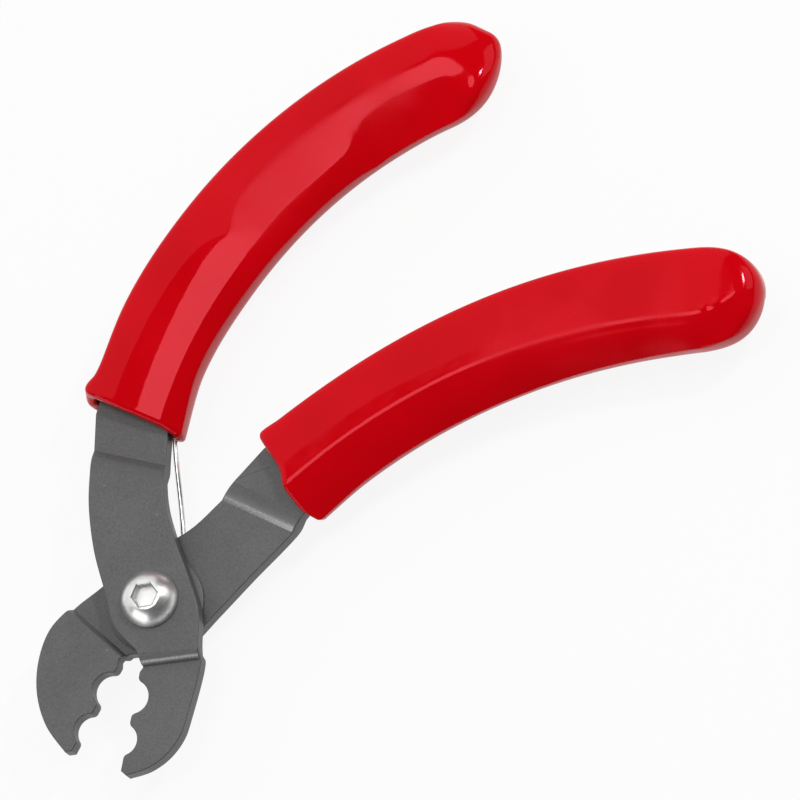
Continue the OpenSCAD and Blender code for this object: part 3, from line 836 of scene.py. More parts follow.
def thicken(sheet, lever):
    """Double a sheet into the two bent faces of a plate, with walls along their rims."""
    wall = sheet.faces.layers.int.new(WALL_MARK)
    rim = [edge for edge in sheet.edges if len(edge.link_faces) == 1]
    copy = bmesh.ops.duplicate(sheet, geom=sheet.verts[:] + sheet.edges[:] + sheet.faces[:])
    under = copy["vert_map"]
    lower_faces = [item for item in copy["geom"] if isinstance(item, bmesh.types.BMFace)]
    lower_verts = set(item for item in copy["geom"] if isinstance(item, bmesh.types.BMVert))
    bmesh.ops.reverse_faces(sheet, faces=lower_faces)
    for a, b in [tuple(edge.verts) for edge in rim]:
        face = sheet.faces.new((a, b, under[b], under[a]))
        face[wall] = 1
    for vert in sheet.verts:
        lower = vert in lower_verts
        rise = min(bend.rise(bend.lower if lower else bend.upper, vert.co) for bend in lever["bends"])
        offset = rise - PLATE_T / 2 if lower else rise + PLATE_T / 2
        vert.co.z = lever["side"] * offset + MID_Z
    bmesh.ops.recalc_face_normals(sheet, faces=sheet.faces[:])


def merge_flats(sheet):
    """Merge the faces of a plate that lie in one plane, apart from its walls."""
    wall = sheet.faces.layers.int[WALL_MARK]
    flats = [edge for edge in sheet.edges if not any(face[wall] for face in edge.link_faces)]
    bmesh.ops.dissolve_limit(
        sheet, angle_limit=FLAT_LIMIT, use_dissolve_boundaries=False, verts=[], edges=flats)


def mark_polish_and_highlight(sheet, bends):
    """Mark how far the sloping faces of the bends are lightened, partly as polish from rubbing and partly as
    a painted highlight.
    """
    polish_and_highlight = sheet.faces.layers.float.new(POLISH_HIGHLIGHT_MARK)
    for face in sheet.faces:
        if SLOPE_LEAST < abs(face.normal.z) < SLOPE_MOST:
            nearest = min(bends, key=lambda bend: abs(bend.inward(face.calc_center_median())))
            face[polish_and_highlight] = nearest.polish_and_highlight * ease_between(abs(face.normal.z), SLOPE_MOST, POLISH_HIGHLIGHT_FULL)


def round_rims(sheet, radius):
    """Round the edges of a plate's walls, and clear the bends' polish and painted highlight from the rounded
    faces.
    """
    wall = sheet.faces.layers.int[WALL_MARK]
    polish_and_highlight = sheet.faces.layers.float[POLISH_HIGHLIGHT_MARK]
    rims = [edge for edge in sheet.edges if len({face[wall] for face in edge.link_faces}) == 2]
    rounded = bmesh.ops.bevel(
        sheet, geom=rims, offset=radius, offset_type="OFFSET", segments=BEVEL_STEPS,
        profile=ROUND_PROFILE, affect="EDGES", clamp_overlap=False)
    for face in rounded["faces"]:
        face[polish_and_highlight] = 0.0


def plate_mesh(name, lever, sizes):
    """Return a plate lever's mesh: its middle set off from jaw and tang, all its rims rounded."""
    sheet = plate_sheet(lever_plan(sizes, lever), lever["bends"], sizes.bore / MM)
    thicken(sheet, lever)
    merge_flats(sheet)
    mark_polish_and_highlight(sheet, lever["bends"])
    round_rims(sheet, sizes.edge_round / MM)
    bmesh.ops.scale(sheet, vec=(MM, MM, MM), verts=sheet.verts[:])
    mesh = bpy.data.meshes.new(name)
    sheet.to_mesh(mesh)
    sheet.free()
    smooth_mesh(mesh, PLATE_SHARP)
    return mesh


class PLIERS_OT_levers(bpy.types.Operator):
    """Build the two offset plate levers"""

    bl_idname = "pliers.levers"
    bl_label = "Levers"

    def execute(self, context):
        sizes = context.scene.pliers_levers
        for name, lever in LEVERS.items():
            mesh = plate_mesh(f"{name}_lever_plate", lever, sizes)
            piece = new_piece(mesh, dark_steel(), f"{name}_lever", f"{name}_half")
            even = piece.modifiers.new("even_flats", "WEIGHTED_NORMAL")
            even.keep_sharp = True
        return {"FINISHED"}


# Grips

TOP_SIDES = 108
UNDER_SIDES = 40
GRIP_STEPS = 200
DOME_STEPS = 80
LIP_STEPS = 8
INNER_STEPS = 40
# Depth of the roomy mouth, the length over which it narrows, and the slot round the tang and beyond its end
MOUTH_DEPTH = 10
NARROW = 5
SLOT_HALF_WIDTH = 7.6
SLOT_HALF_HEIGHT = 1.95
SLOT_POWER = 8
END_ROOM = 0.6
# Roundness of the section's under side, of its steep sides, of the corner above them and of the far end
UNDER_POWER = 2.6
SIDE_RISE = 1.7
SIDE_POWER = 6
SIDE_ROUND = 2.2
CORNER_BLEND = 6
LEAST_HEIGHT = 0.05
ARCH_POWER = 3.0
SHIFT_POWER = 4
# Spans along the handle over which the part that hands have dulled begins and ends
HAND_START = (34, 44)
HAND_STOP = (74, 84)
VINYL_SHARP = 70


def squared(value, sharpness):
    """Return a circle's coordinate pushed towards a square's."""
    return math.copysign(abs(value) ** (2 / sharpness), value)


class GripForm:
    """The outer form of one grip: its widths, the tilt of its upper face, its rim, dots and far end."""

    def __init__(self, handle, left_widths, right_widths, tilt, rim, dots, far_end):
        self.handle = handle
        self.left_widths = left_widths
        self.right_widths = right_widths
        self.tilt = tilt
        self.rim = rim
        self.dots = dots
        self.far_end = far_end

    def detail(self, along, left):
        """Return the height of the small dots at a place on the upper face."""
        heights = [height * bump_at(math.hypot(along - at, left - side), 0, width)
                   for height, at, side, width in self.dots]
        return sum(heights)

    def arch(self, left, left_width, right_width, half_height):
        """Return the height of the plain arch into which the upper face turns at the far end."""
        crest = self.far_end["crest"]
        reach = left_width - crest if left > crest else right_width + crest
        across = abs(left - crest) / reach
        return half_height * max(1 - across ** ARCH_POWER, 0.0) ** (1 / ARCH_POWER)

    def upper_curve(self, along, half_height, share):
        """Return the section's upper points from left to right, from the tilt of its face.

        The share says how far along the rounded far end the section lies."""
        left_width = along_table(self.left_widths, along)
        right_width = along_table(self.right_widths, along)
        lefts = []
        for k in range(TOP_SIDES + 1):
            across = math.cos(math.pi * k / TOP_SIDES)
            lefts.append(across * (left_width if across > 0 else right_width))
        heights = [0.0]
        for a, b in zip(lefts, lefts[1:]):
            heights.append(heights[-1] + fall_of(self.tilt(along, (a + b) / 2)) * (b - a))
        lift = half_height - max(heights)
        arched = self.far_end["arched"] * ease_between(share, *self.far_end["arch_span"])
        curve = []
        for left, height in zip(lefts, heights):
            share_out = abs(left) / (left_width if left > 0 else right_width)
            side = half_height * SIDE_RISE * max(1 - share_out ** SIDE_POWER, 0.0) ** (1 / SIDE_ROUND)
            face = max(height + lift + self.detail(along, left), LEAST_HEIGHT)
            plain = lerp(face, self.arch(left, left_width, right_width, half_height), arched)
            curve.append((left, soft_least(plain, side)))
        return curve

    def section(self, grips, along, reach, dome):
        """Return the closed section at a place along the handle, from its left side over the top."""
        half_height = grips.half_height / MM
        share = min(max((along - (reach - dome)) / dome, 0.0), 1.0)
        wide_scale = math.sqrt(1 - share ** self.far_end["wide_power"])
        high_scale = math.sqrt(1 - share ** self.far_end["high_power"])
        curve = self.upper_curve(along, half_height, share)
        for k in range(1, UNDER_SIDES):
            turn = math.pi * (1 + k / UNDER_SIDES)
            wide = curve[0][0] if math.cos(turn) > 0 else -curve[-1][0]
            curve.append((wide * squared(math.cos(turn), UNDER_POWER),
                          half_height * squared(math.sin(turn), UNDER_POWER)))
        shift = self.far_end["shift"] * share ** SHIFT_POWER
        return [Vector((left * wide_scale + shift, height * high_scale)) for left, height in curve]

    def place(self, along, spot):
        """Return a point in space from its place along the handle and its left and height."""
        fade = 1 - ease_between(along, 0, MOUTH_DEPTH)
        plan = self.handle.point(along + fade * self.rim(spot.x, spot.y), spot.x)
        return Vector((plan.x, plan.y, MID_Z + spot.y))


def soft_least(first, second):
    """Return the lesser of two heights, with a rounded corner where they meet."""
    if min(first, second) <= 0:
        return 0.0
    return (first ** -CORNER_BLEND + second ** -CORNER_BLEND) ** (-1 / CORNER_BLEND)


def inset_section(section, wall, grips):
    """Return a section drawn in by the thickness of the wall."""
    wide = max(abs(spot.x) for spot in section)
    high = grips.half_height / MM
    return [Vector((spot.x * (1 - wall / wide), spot.y * (1 - wall / high))) for spot in section]


def slot_section(section):
    """Return the narrow room round the tang, point for point with a section."""
    slot = []
    for spot in section:
        turn = math.atan2(spot.y / SLOT_HALF_HEIGHT, spot.x / SLOT_HALF_WIDTH)
        slot.append(Vector((SLOT_HALF_WIDTH * squared(math.cos(turn), SLOT_POWER),
                            SLOT_HALF_HEIGHT * squared(math.sin(turn), SLOT_POWER))))
    return slot


def grip_mesh(name, form, grips, reach, dome, tang_reach):
    """Return a sleeve: inner skin from the end of the tang, rounded lip and outer skin."""
    wall = grips.wall / MM
    rings = []
    depth = tang_reach + END_ROOM
    for i in range(INNER_STEPS):
        along = depth * (1 - i / INNER_STEPS) ** 2
        roomy = inset_section(form.section(grips, along, reach, dome), wall, grips)
        narrow = ease_between(along, MOUTH_DEPTH, MOUTH_DEPTH + NARROW)
        tight = slot_section(roomy)
        rings.append([form.place(along, a.lerp(b, narrow)) for a, b in zip(roomy, tight)])
    mouth = form.section(grips, 0.0, reach, dome)
    for i in range(LIP_STEPS + 1):
        turn = math.pi * i / LIP_STEPS
        drawn = inset_section(mouth, wall * (1 + math.cos(turn)) / 2, grips)
        rings.append([form.place(-wall / 2 * math.sin(turn), spot) for spot in drawn])
    body = reach - dome
    places = [body * (i / GRIP_STEPS) for i in range(1, GRIP_STEPS + 1)]
    places += [body + dome * math.sin(math.pi / 2 * i / DOME_STEPS) for i in range(1, DOME_STEPS)]
    handled = [0.0] * len(rings)
    for along in places:
        rings.append([form.place(along, spot) for spot in form.section(grips, along, reach, dome)])
        handled.append(inside(along, HAND_START, HAND_STOP))
    start_tip = form.place(depth, Vector((0, 0)))
    end_tip = form.place(reach, Vector((form.far_end["shift"], 0)))
    mesh = new_mesh(name, *closed_skin(rings, start_tip, end_tip))
    mark = mesh.attributes.new(HAND_MARK, "FLOAT", "POINT")
    sides = len(rings[0])
    for vert in mesh.vertices:
        mark.data[vert.index].value = handled[min(vert.index // sides, len(handled) - 1)]
    smooth_mesh(mesh, VINYL_SHARP)
    return mesh


# Places where the front grip's upper face leaves its flat top, begins its band and drops to its flank
FRONT_CREST = [
    (0, 3.45), (14, 3.1), (22, 2.85), (28, 2.5), (32.6, 1.6), (35.3, 0.3), (36.8, -0.8), (40, 0.8),
    (43, 1.8), (47, 2.2), (75, 2.6)]
FRONT_FALL = [
    (0, -1.3), (14, -1.15), (24, -0.75), (30, -0.4), (34, -0.6), (36.8, -1.1), (40, 0.6), (43, 1.6),
    (47, 2.0), (75, 2.4)]
FRONT_DROP = [(0, -5.6), (36, -5.7), (45, -5.2), (63, -4.6), (70, -1.0), (90, -0.8)]
# How fast its flank steepens, and half the width over which it turns at its crest and its fall
FRONT_STEEPEN = [(0, 4.0), (63, 4.0), (70, 0.6)]
FRONT_TURN = [(0, 0.2), (42, 0.2), (52, 1.3), (75, 1.3)]
# How many such half widths ahead of the fall its band begins, and the width over which it turns at its drop
FALL_LEAD = 1.5
DROP_WIDTH = 0.5
# Tilts of its top, dent, band and flank in degrees, the most that band and flank reach, and the band's depth
TOP_TILT = 1.6
DENT_TILT = 5.2
BAND_TILT = 7.8
BAND_LIMIT = 15.5
BAND_DEPTH = 1.1
FLANK_TILT = 18.5
TILT_LIMIT = 75
# How far to the left the upper faces of both grips begin to fall away, and how fast
SHOULDER = 4.0
EDGE_FALL = 0.6


def front_tilt(along, left):
    """Return the tilt of the front grip's upper face in degrees, falling to the right.

    The band's last tilt brings every section down to about the same depth."""
    crest = along_table(FRONT_CREST, along)
    fall = along_table(FRONT_FALL, along)
    drop = along_table(FRONT_DROP, along)
    top = TOP_TILT - EDGE_FALL * max(left - SHOULDER, 0.0) ** 2
    turn = along_table(FRONT_TURN, along)
    dent = lerp(top, DENT_TILT, ease_between(left, crest + turn, crest - turn))
    fallen = (SHOULDER - crest) * fall_of(TOP_TILT) + (crest - fall) * fall_of(DENT_TILT)
    mean = math.degrees(math.atan2(BAND_DEPTH - fallen, fall - drop))
    last = min(2 * mean - BAND_TILT, BAND_LIMIT)
    band = lerp(BAND_TILT, last, (fall - left) / (fall - drop))
    tilt = lerp(dent, band, ease_between(left, fall + FALL_LEAD * turn, fall - turn))
    flank = FLANK_TILT + along_table(FRONT_STEEPEN, along) * (drop - left)
    return min(lerp(tilt, flank, ease_between(left, drop, drop - DROP_WIDTH)), TILT_LIMIT)


# Places of the rear grip's valley and ridge, and half the width over which its face turns at the ridge
REAR_VALLEY = [(0, 1.1), (20, 0.6), (45, -0.3)]
REAR_RIDGE = [
    (0, -2.2), (25, -2.5), (41, -2.8), (64, -3.5), (80, -3.9), (82.9, -3.5), (85.3, -2.95),
    (88.3, -1.15), (90.5, 0.6), (92.4, 1.6)]
REAR_TURN = [(0, 0.5), (40, 0.6), (58, 0.9), (75, 0.8)]
# Tilts of its top, facet and flank in degrees, and how fast its flank steepens
REAR_TOP_TILT = 0.8
REAR_FACET_TILT = 3.0
REAR_FLANK_TILT = 19.0
REAR_STEEPEN = [(0, 3.2), (20, 3.4), (45, 4.4), (80, 4.4), (88, 0.0)]
# Half the width over which the face turns at the valley, and where the valley fades
VALLEY_TURN = 0.3
VALLEY_FADE = (36, 58)
# A crease beyond the ridge: its tilt, its distance and width, and the spans over which it begins and ends
CREASE_TILT = 10.0
CREASE_PAST = 1.5
CREASE_WIDTH = 0.45
CREASE_START = (50, 62)
CREASE_STOP = (78, 82)


def rear_tilt(along, left):
    """Return the tilt of the rear grip's upper face in degrees, falling to the right of its ridge."""
    past = along_table(REAR_RIDGE, along) - left
    turn = along_table(REAR_TURN, along)
    top = REAR_TOP_TILT - EDGE_FALL * max(left - SHOULDER, 0.0) ** 2
    below = ease_between(along_table(REAR_VALLEY, along) - left, -VALLEY_TURN, VALLEY_TURN)
    facet = lerp(top, REAR_FACET_TILT, below * (1 - ease_between(along, *VALLEY_FADE)))
    flank = min(REAR_FLANK_TILT + along_table(REAR_STEEPEN, along) * max(past, 0.0), TILT_LIMIT)
    crease = bump_at(past, CREASE_PAST, CREASE_WIDTH) * inside(along, CREASE_START, CREASE_STOP)
    return lerp(facet, flank, ease_between(past, -turn, turn)) - CREASE_TILT * crease


# How far the mouths are slanted, the front one's upper side set back and the rear one's nose set forward
FRONT_SLANT = 0.15
FRONT_SETBACK = 1.1
SETBACK_RISE = (0, 4)
REAR_SLANT = 0.09
REAR_NOSE = 1.5
NOSE_ACROSS = (1.7, -2.6)
NOSE_RISE = (-1, 2.5)


def front_rim(left, height):
    """Return how far the front grip's mouth is set back along the handle."""
    return FRONT_SLANT * left + FRONT_SETBACK * ease_between(height, *SETBACK_RISE)


def rear_rim(left, height):
    """Return how far the rear grip's mouth is set back along the handle."""
    nose = ease_between(left, *NOSE_ACROSS) * ease_between(height, *NOSE_RISE)
    return REAR_SLANT * left - REAR_NOSE * nose


# Small dots on the upper faces, each with its height, place along, place to the left and width
FRONT_DOTS = [(-0.04, 36.9, -4.3, 0.3)]
REAR_DOTS = [(0.26, 82.6, -3.0, 0.45), (0.34, 84.9, -2.2, 0.58)]
FRONT_FORM = GripForm(
    FRONT_HANDLE,
    [(0, 9.9), (3, 8.9), (8, 8.6), (18, 9.1), (35, 9.0), (76, 9.1), (83, 9.15), (86, 9.4),
     (89, 10.05), (92, 10.25), (95, 8.95)],
    [(0, 9.8), (11.5, 9.0), (30, 9.5), (47, 9.5), (70, 9.2), (84, 8.9)],
    front_tilt, front_rim, FRONT_DOTS,
    {"shift": 2.3, "wide_power": 2.0, "high_power": 2.2, "crest": -2.0, "arched": 1.0,
     "arch_span": (0.15, 0.7)})
REAR_FORM = GripForm(
    REAR_HANDLE,
    [(0, 9.1), (4, 8.7), (19, 8.5), (52, 8.8), (80, 8.7)],
    [(0, 9.9), (10, 9.6), (50, 9.7), (70, 9.7), (80, 9.55), (86, 9.3)],
    rear_tilt, rear_rim, REAR_DOTS,
    {"shift": 0.3, "wide_power": 2.6, "high_power": 6.0, "crest": -2.0, "arched": 0.85,
     "arch_span": (0.45, 0.95)})


class PLIERS_OT_grips(bpy.types.Operator):
    """Build the two sleeve grips"""

    bl_idname = "pliers.grips"
    bl_label = "Grips"

    def execute(self, context):
        grips = context.scene.pliers_grips
        tang_reach = context.scene.pliers_levers.tang_length / MM
        rows = (("front", FRONT_FORM, grips.front_length, grips.front_dome),
                ("rear", REAR_FORM, grips.rear_length, grips.rear_dome))
        for side, form, reach, dome in rows:
            mesh = grip_mesh(f"{side}_grip_sleeve", form, grips, reach / MM, dome / MM, tang_reach)
            new_piece(mesh, red_vinyl(), f"{side}_grip", f"{side}_half")
        return {"FINISHED"}


# Turned and hexagonal pieces

LATHE_SIDES = 96
HEX_FLATS = 6


def circle(radius):
    """Return a round outline's radius at any turn."""
    return lambda turn: radius


def hexagon(across_flats, start=0.0):
    """Return a hexagon's radius at any turn."""
    def radius(turn):
        step = 2 * math.pi / HEX_FLATS
        return across_flats / 2 / math.cos((turn - start + step / 2) % step - step / 2)
    return radius


def cut_hexagon(across_flats, limit):
    """Return the radius of a hexagon whose corners are turned down."""
    hexed = hexagon(across_flats)
    return lambda turn: min(hexed(turn), limit)


def lathe_ring(outline, height, start=0.0):
    """Return a ring of points of one outline at one height."""
    ring = []
    for k in range(LATHE_SIDES):
        turn = start + 2 * math.pi * k / LATHE_SIDES
        ring.append(Vector((outline(turn) * math.cos(turn), outline(turn) * math.sin(turn), height)))
    return ring


def round_rings(rows):
    """Return round rings from rows of a radius and a height."""
    return [lathe_ring(circle(radius), height) for radius, height in rows]


def rounded_washer(inner, outer, low, high, edge):
    """Return the rings of a flat washer with softened edges."""
    return round_rings([
        (inner, low + edge), (inner + edge, low), (outer - edge, low), (outer, low + edge),
        (outer, high - edge), (outer - edge, high), (inner + edge, high), (inner, high - edge)])


# Button head: its straight rim, the radius of its flat top and its softened edges
HEAD_LAND = 0.4
HEAD_FLAT = 2.75
HEAD_EDGE = 0.12
DOME_POINTS = 24
# Socket: the direction of a flat's middle in degrees, its mouth, and the drill mark in its floor
SOCKET_TURN = -11.0
SOCKET_CHAMFER = 0.22
DRILL_ROOM = 0.1
DRILL_DEPTH = 0.15
# Tail: its end, and its thread with the length by which it runs past the nut
TAIL_CHAMFER = 0.5
THREAD_DEPTH = 0.5
THREAD_FIT = 0.05
THREAD_RINGS = 12
THREAD_PAST = 0.5
SCREW_SHARP = 35


def thread_rings(pivot, top):
    """Return the rings of the screw's threaded tail, from its flat end upwards."""
    pitch = pivot.thread_pitch / MM
    crest = pivot.screw_width / MM / 2 - THREAD_FIT
    count = int(top / pitch * THREAD_RINGS)

    def outline(height):
        def radius(turn):
            phase = (height / pitch - turn / (2 * math.pi)) % 1.0
            depth = THREAD_DEPTH * (0.5 + 0.5 * math.cos(2 * math.pi * phase))
            run_out = ease_between(height, top, top - pitch)
            return min(crest - depth * run_out, crest - TAIL_CHAMFER + height)
        return radius

    return [lathe_ring(outline(top * i / count), top * i / count) for i in range(count + 1)]


def screw_mesh(pivot):
    """Return the button-head screw with its socket and threaded tail."""
    shank = pivot.screw_width / MM / 2
    head = pivot.head_width / MM / 2
    thread_top = NUT_TOP + THREAD_PAST
    rings = thread_rings(pivot, thread_top)
    rings += round_rings([
        (shank, thread_top + HEAD_EDGE), (shank, HEAD_LOW),
        (head - HEAD_EDGE, HEAD_LOW), (head, HEAD_LOW + HEAD_EDGE)])
    rise = HEAD_TOP - HEAD_LOW - HEAD_LAND
    centre = (HEAD_FLAT ** 2 + rise ** 2 - head ** 2) / (2 * rise)
    ball = math.hypot(head, centre)
    start = math.atan2(-centre, head)
    stop = math.atan2(rise - centre, HEAD_FLAT)
    middle = HEAD_LOW + HEAD_LAND + centre
    turns = [lerp(start, stop, i / DOME_POINTS) for i in range(DOME_POINTS + 1)]
    rings += round_rings([(ball * math.cos(turn), middle + ball * math.sin(turn)) for turn in turns])
    twist = math.radians(SOCKET_TURN)
    flats = pivot.socket_width / MM
    floor = HEAD_TOP - pivot.socket_depth / MM
    mouth = hexagon(flats + 2 * SOCKET_CHAMFER, twist)
    hexed = hexagon(flats, twist)
    rings.append(lathe_ring(lambda turn: min(mouth(turn), HEAD_FLAT - HEAD_EDGE), HEAD_TOP, twist))
    rings.append(lathe_ring(hexed, HEAD_TOP - SOCKET_CHAMFER, twist))
    rings.append(lathe_ring(hexed, floor, twist))
    rings.append(lathe_ring(circle(flats / 2 - DRILL_ROOM), floor, twist))
    tail_tip = Vector((0, 0, 0))
    drill_tip = Vector((0, 0, floor - DRILL_DEPTH))
    mesh = new_mesh("pivot_screw_turned", *closed_skin(rings, tail_tip, drill_tip))
    smooth_mesh(mesh, SCREW_SHARP)
    return mesh


class PLIERS_OT_screw(bpy.types.Operator):
    """Build the pivot screw"""

    bl_idname = "pliers.screw"
    bl_label = "Screw"

    def execute(self, context):
        mesh = screw_mesh(context.scene.pliers_pivot)
        new_piece(mesh, bright_steel(), "pivot_screw", "rear_half")
        return {"FINISHED"}


# Room round the screw and softened edges of the two washers
THRUST_ROOM = 0.05
THRUST_EDGE = 0.08
FLAT_ROOM = 0.2
FLAT_EDGE = 0.15
RING_SHARP = 50


class PLIERS_OT_washers(bpy.types.Operator):
    """Build the thrust washer and the flat washer"""

    bl_idname = "pliers.washers"
    bl_label = "Washers"

    def execute(self, context):
        pivot = context.scene.pliers_pivot
        screw = pivot.screw_width / MM / 2
        rows = (
            # The thrust washer is given the dark plate finish, not plain steel, so it shows dark between the
            # levers
            ("thrust_washer", THRUST_ROOM, pivot.thrust_width, THRUST_EDGE, dark_steel(), "dark_steel"),
            ("flat_washer", FLAT_ROOM, pivot.flat_width, FLAT_EDGE, plain_steel(), "plain_steel"))
        for node, room, width, edge, material, slot in rows:
            rings = rounded_washer(screw + room, width / MM / 2, *heights_of(node), edge)
            mesh = new_mesh(f"{node}_ring", *ring_skin(rings))
            smooth_mesh(mesh, RING_SHARP)
            new_piece(mesh, material, node, "rear_half")
        return {"FINISHED"}


# Lock nut: the round collar below its hexagon, the lip that holds the plastic ring, and its chamfers
COLLAR_HEIGHT = 1.6
COLLAR_STEP = 0.4
COLLAR_LIP = 0.4
LIP_EDGE = 0.1
INSERT_FIT = 0.02
INSERT_EDGE = 0.1
BORE_CHAMFER = 0.25
CHAMFER = 0.4
CHAMFER_STEPS = 5
NUT_SHARP = 30


def nut_rings(pivot, insert):
    """Return the rings of the lock nut, from its bore's top out and round to its collar's lip."""
    flats = pivot.nut_width / MM
    corner = flats / 2 / math.cos(math.pi / HEX_FLATS)
    bore = pivot.screw_width / MM / 2 + THREAD_FIT
    collar = flats / 2 - COLLAR_STEP
    hex_low = NUT_LOW + COLLAR_HEIGHT
    mouth = insert - COLLAR_LIP
    rings = round_rings([(bore, NUT_TOP - BORE_CHAMFER), (bore + BORE_CHAMFER, NUT_TOP)])
    limits = [lerp(corner - 2 * CHAMFER, corner, i / CHAMFER_STEPS) for i in range(CHAMFER_STEPS + 1)]
    for i, limit in enumerate(limits):
        rings.append(lathe_ring(cut_hexagon(flats, limit), NUT_TOP - CHAMFER * i / CHAMFER_STEPS))
    for i, limit in enumerate(reversed(limits)):
        height = hex_low + CHAMFER * (1 - i / CHAMFER_STEPS)
        rings.append(lathe_ring(cut_hexagon(flats, limit), height))
    rings += round_rings([(collar, hex_low), (collar, NUT_LOW + CHAMFER)])
    turns = [math.pi / 2 * i / CHAMFER_STEPS for i in range(1, CHAMFER_STEPS + 1)]
    rings += round_rings([
        (collar - CHAMFER * (1 - math.cos(turn)), NUT_LOW + CHAMFER * (1 - math.sin(turn)))
        for turn in turns])
    rings += round_rings([
        (mouth + LIP_EDGE, NUT_LOW), (mouth, NUT_LOW + LIP_EDGE), (mouth, INSERT_LOW),
        (insert + INSERT_FIT, INSERT_LOW), (insert + INSERT_FIT, INSERT_TOP), (bore, INSERT_TOP)])
    return rings


class PLIERS_OT_lock_nut(bpy.types.Operator):
    """Build the lock nut and its plastic ring"""

    bl_idname = "pliers.lock_nut"
    bl_label = "Lock nut"

    def execute(self, context):
        pivot = context.scene.pliers_pivot
        low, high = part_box("nut_insert")
        insert = (high.x - low.x) / 2 / MM
        nut = new_mesh("lock_nut_body", *ring_skin(nut_rings(pivot, insert)))
        smooth_mesh(nut, NUT_SHARP)
        new_piece(nut, plain_steel(), "lock_nut", "rear_half")
        rings = rounded_washer(pivot.screw_width / MM / 2, insert, INSERT_LOW, INSERT_TOP, INSERT_EDGE)
        ring = new_mesh("nut_insert_ring", *ring_skin(rings))
        smooth_mesh(ring, RING_SHARP)
        new_piece(ring, nylon(), "nut_insert", "rear_half")
        return {"FINISHED"}


# Return spring

WIRE_SIDES = 16
TURN_STEPS = 48
LEG_STEPS = 36
WIRE_SHARP = 60
# The coil's turns and its room below the rear lever, and the place where its front leg bends
FULL_TURNS = 2
COIL_SEAT = 0.3
KNEE = Vector((10.5, 4.5))
# Where the legs pass the tangs, how far they reach into the grips, and the share of each in which it climbs
FRONT_LEG_BACK = 2.7
REAR_LEG_LEFT = 4.5
LEG_IN = 6
UNDER_TANG = 0.2
FRONT_CLIMB = (0.15, 0.7)
REAR_CLIMB = (0.2, 1)


def direction(point):
    """Return a plan point's direction from the pivot axis, in degrees."""
    return math.degrees(math.atan2(point[1], point[0]))


def raised(point, height):
    """Return a plan point at a height."""
    return Vector((point[0], point[1], height))


def spring_path(spring, half_tang):
    """Return the middle line of the wire, from the rear grip's mouth to the front one's."""
    wire = spring.wire / MM
    coil = spring.coil / MM
    coil_top = REAR_LOW - COIL_SEAT - wire / 2
    leg_height = MID_Z - PLATE_T / 2 - UNDER_TANG - wire / 2
    front_pass = FRONT_HANDLE.point(-FRONT_LEG_BACK, -half_tang - wire / 2)
    front_run = (front_pass - KNEE).length
    front_end = KNEE.lerp(front_pass, 1 + (FRONT_LEG_BACK + LEG_IN) / front_run)
    rear_end = REAR_HANDLE.point(LEG_IN, REAR_LEG_LEFT)
    front_leave = direction(KNEE) - math.degrees(math.acos(coil / KNEE.length))
    rear_leave = direction(rear_end) + math.degrees(math.acos(coil / rear_end.length))
    sweep = 360 * (FULL_TURNS + 1) + front_leave - rear_leave
    coil_low = coil_top - (wire + spring.gap / MM) * sweep / 360
    steps = round(sweep / 360 * TURN_STEPS)
    path = []
    for i in range(LEG_STEPS, 0, -1):
        t = i / LEG_STEPS
        height = lerp(coil_low, leg_height, ease_between(t, *REAR_CLIMB))
        path.append(raised(polar(coil, rear_leave).lerp(rear_end, t), height))
    for i in range(steps + 1):
        t = i / steps
        path.append(raised(polar(coil, rear_leave + sweep * t), lerp(coil_low, coil_top, t)))
    path.append(raised(polar(coil, front_leave).lerp(KNEE, 0.5), coil_top))
    for i in range(LEG_STEPS + 1):
        t = i / LEG_STEPS
        height = lerp(coil_top, leg_height, ease_between(t, *FRONT_CLIMB))
        path.append(raised(KNEE.lerp(front_end, t), height))
    return path


def wire_mesh(path, radius):
    """Return a round wire along a path, with its length and girth as its map."""
    rings = []
    for i, point in enumerate(path):
        ahead = (path[min(i + 1, len(path) - 1)] - path[max(i - 1, 0)]).normalized()
        across = ahead.cross(Vector((0, 0, 1))).normalized()
        up = across.cross(ahead)
        turns = [2 * math.pi * k / WIRE_SIDES for k in range(WIRE_SIDES)]
        rings.append([point + radius * (math.cos(t) * across + math.sin(t) * up) for t in turns])
    mesh = new_mesh("return_spring_wire", *closed_skin(rings, path[0], path[-1]))
    lengths = [0.0]
    for a, b in zip(path, path[1:]):
        lengths.append(lengths[-1] + (b - a).length * MM)
    wire_map = mesh.uv_layers.new(name="Wire")
    for loop in mesh.loops:
        ring = min(loop.vertex_index // WIRE_SIDES, len(path) - 1)
        wire_map.data[loop.index].uv = (lengths[ring], loop.vertex_index % WIRE_SIDES / WIRE_SIDES)
    smooth_mesh(mesh, WIRE_SHARP)
    return mesh


class PLIERS_OT_spring(bpy.types.Operator):
    """Build the return spring, which bends as the levers turn"""

    bl_idname = "pliers.spring"
    bl_label = "Return spring"

    def execute(self, context):
        spring = context.scene.pliers_spring
        half_tang = context.scene.pliers_levers.tang_width / MM / 2
        mesh = wire_mesh(spring_path(spring, half_tang), spring.wire / MM / 2)
        piece = new_piece(mesh, spring_wire(), "return_spring", None)
        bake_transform(piece, "rear_half", "front_half", start=(0.0, 7.6 * MM, 0.0), end=(0.0, 17 * MM, 0.0))
        return {"FINISHED"}


# Studio

# The camera's target, its picture's width and scale, and in degrees its elevation and its picture's turn
TARGET = Vector((55.75, -9.27, MID_Z))
PICTURE_WIDTH = 800
PIXELS_A_MM = 5.65
ELEVATION = 67.5
IMAGE_TURN = 41.5
# The sensor's width in millimetres, and how far the camera sees in metres
SENSOR = 36.0
CLIP_END = 50.0
# Half the floor's width in metres, and the share of plain glow in what the camera sees of it
FLOOR_HALF = 4.0
FLOOR_GLOW = 0.9
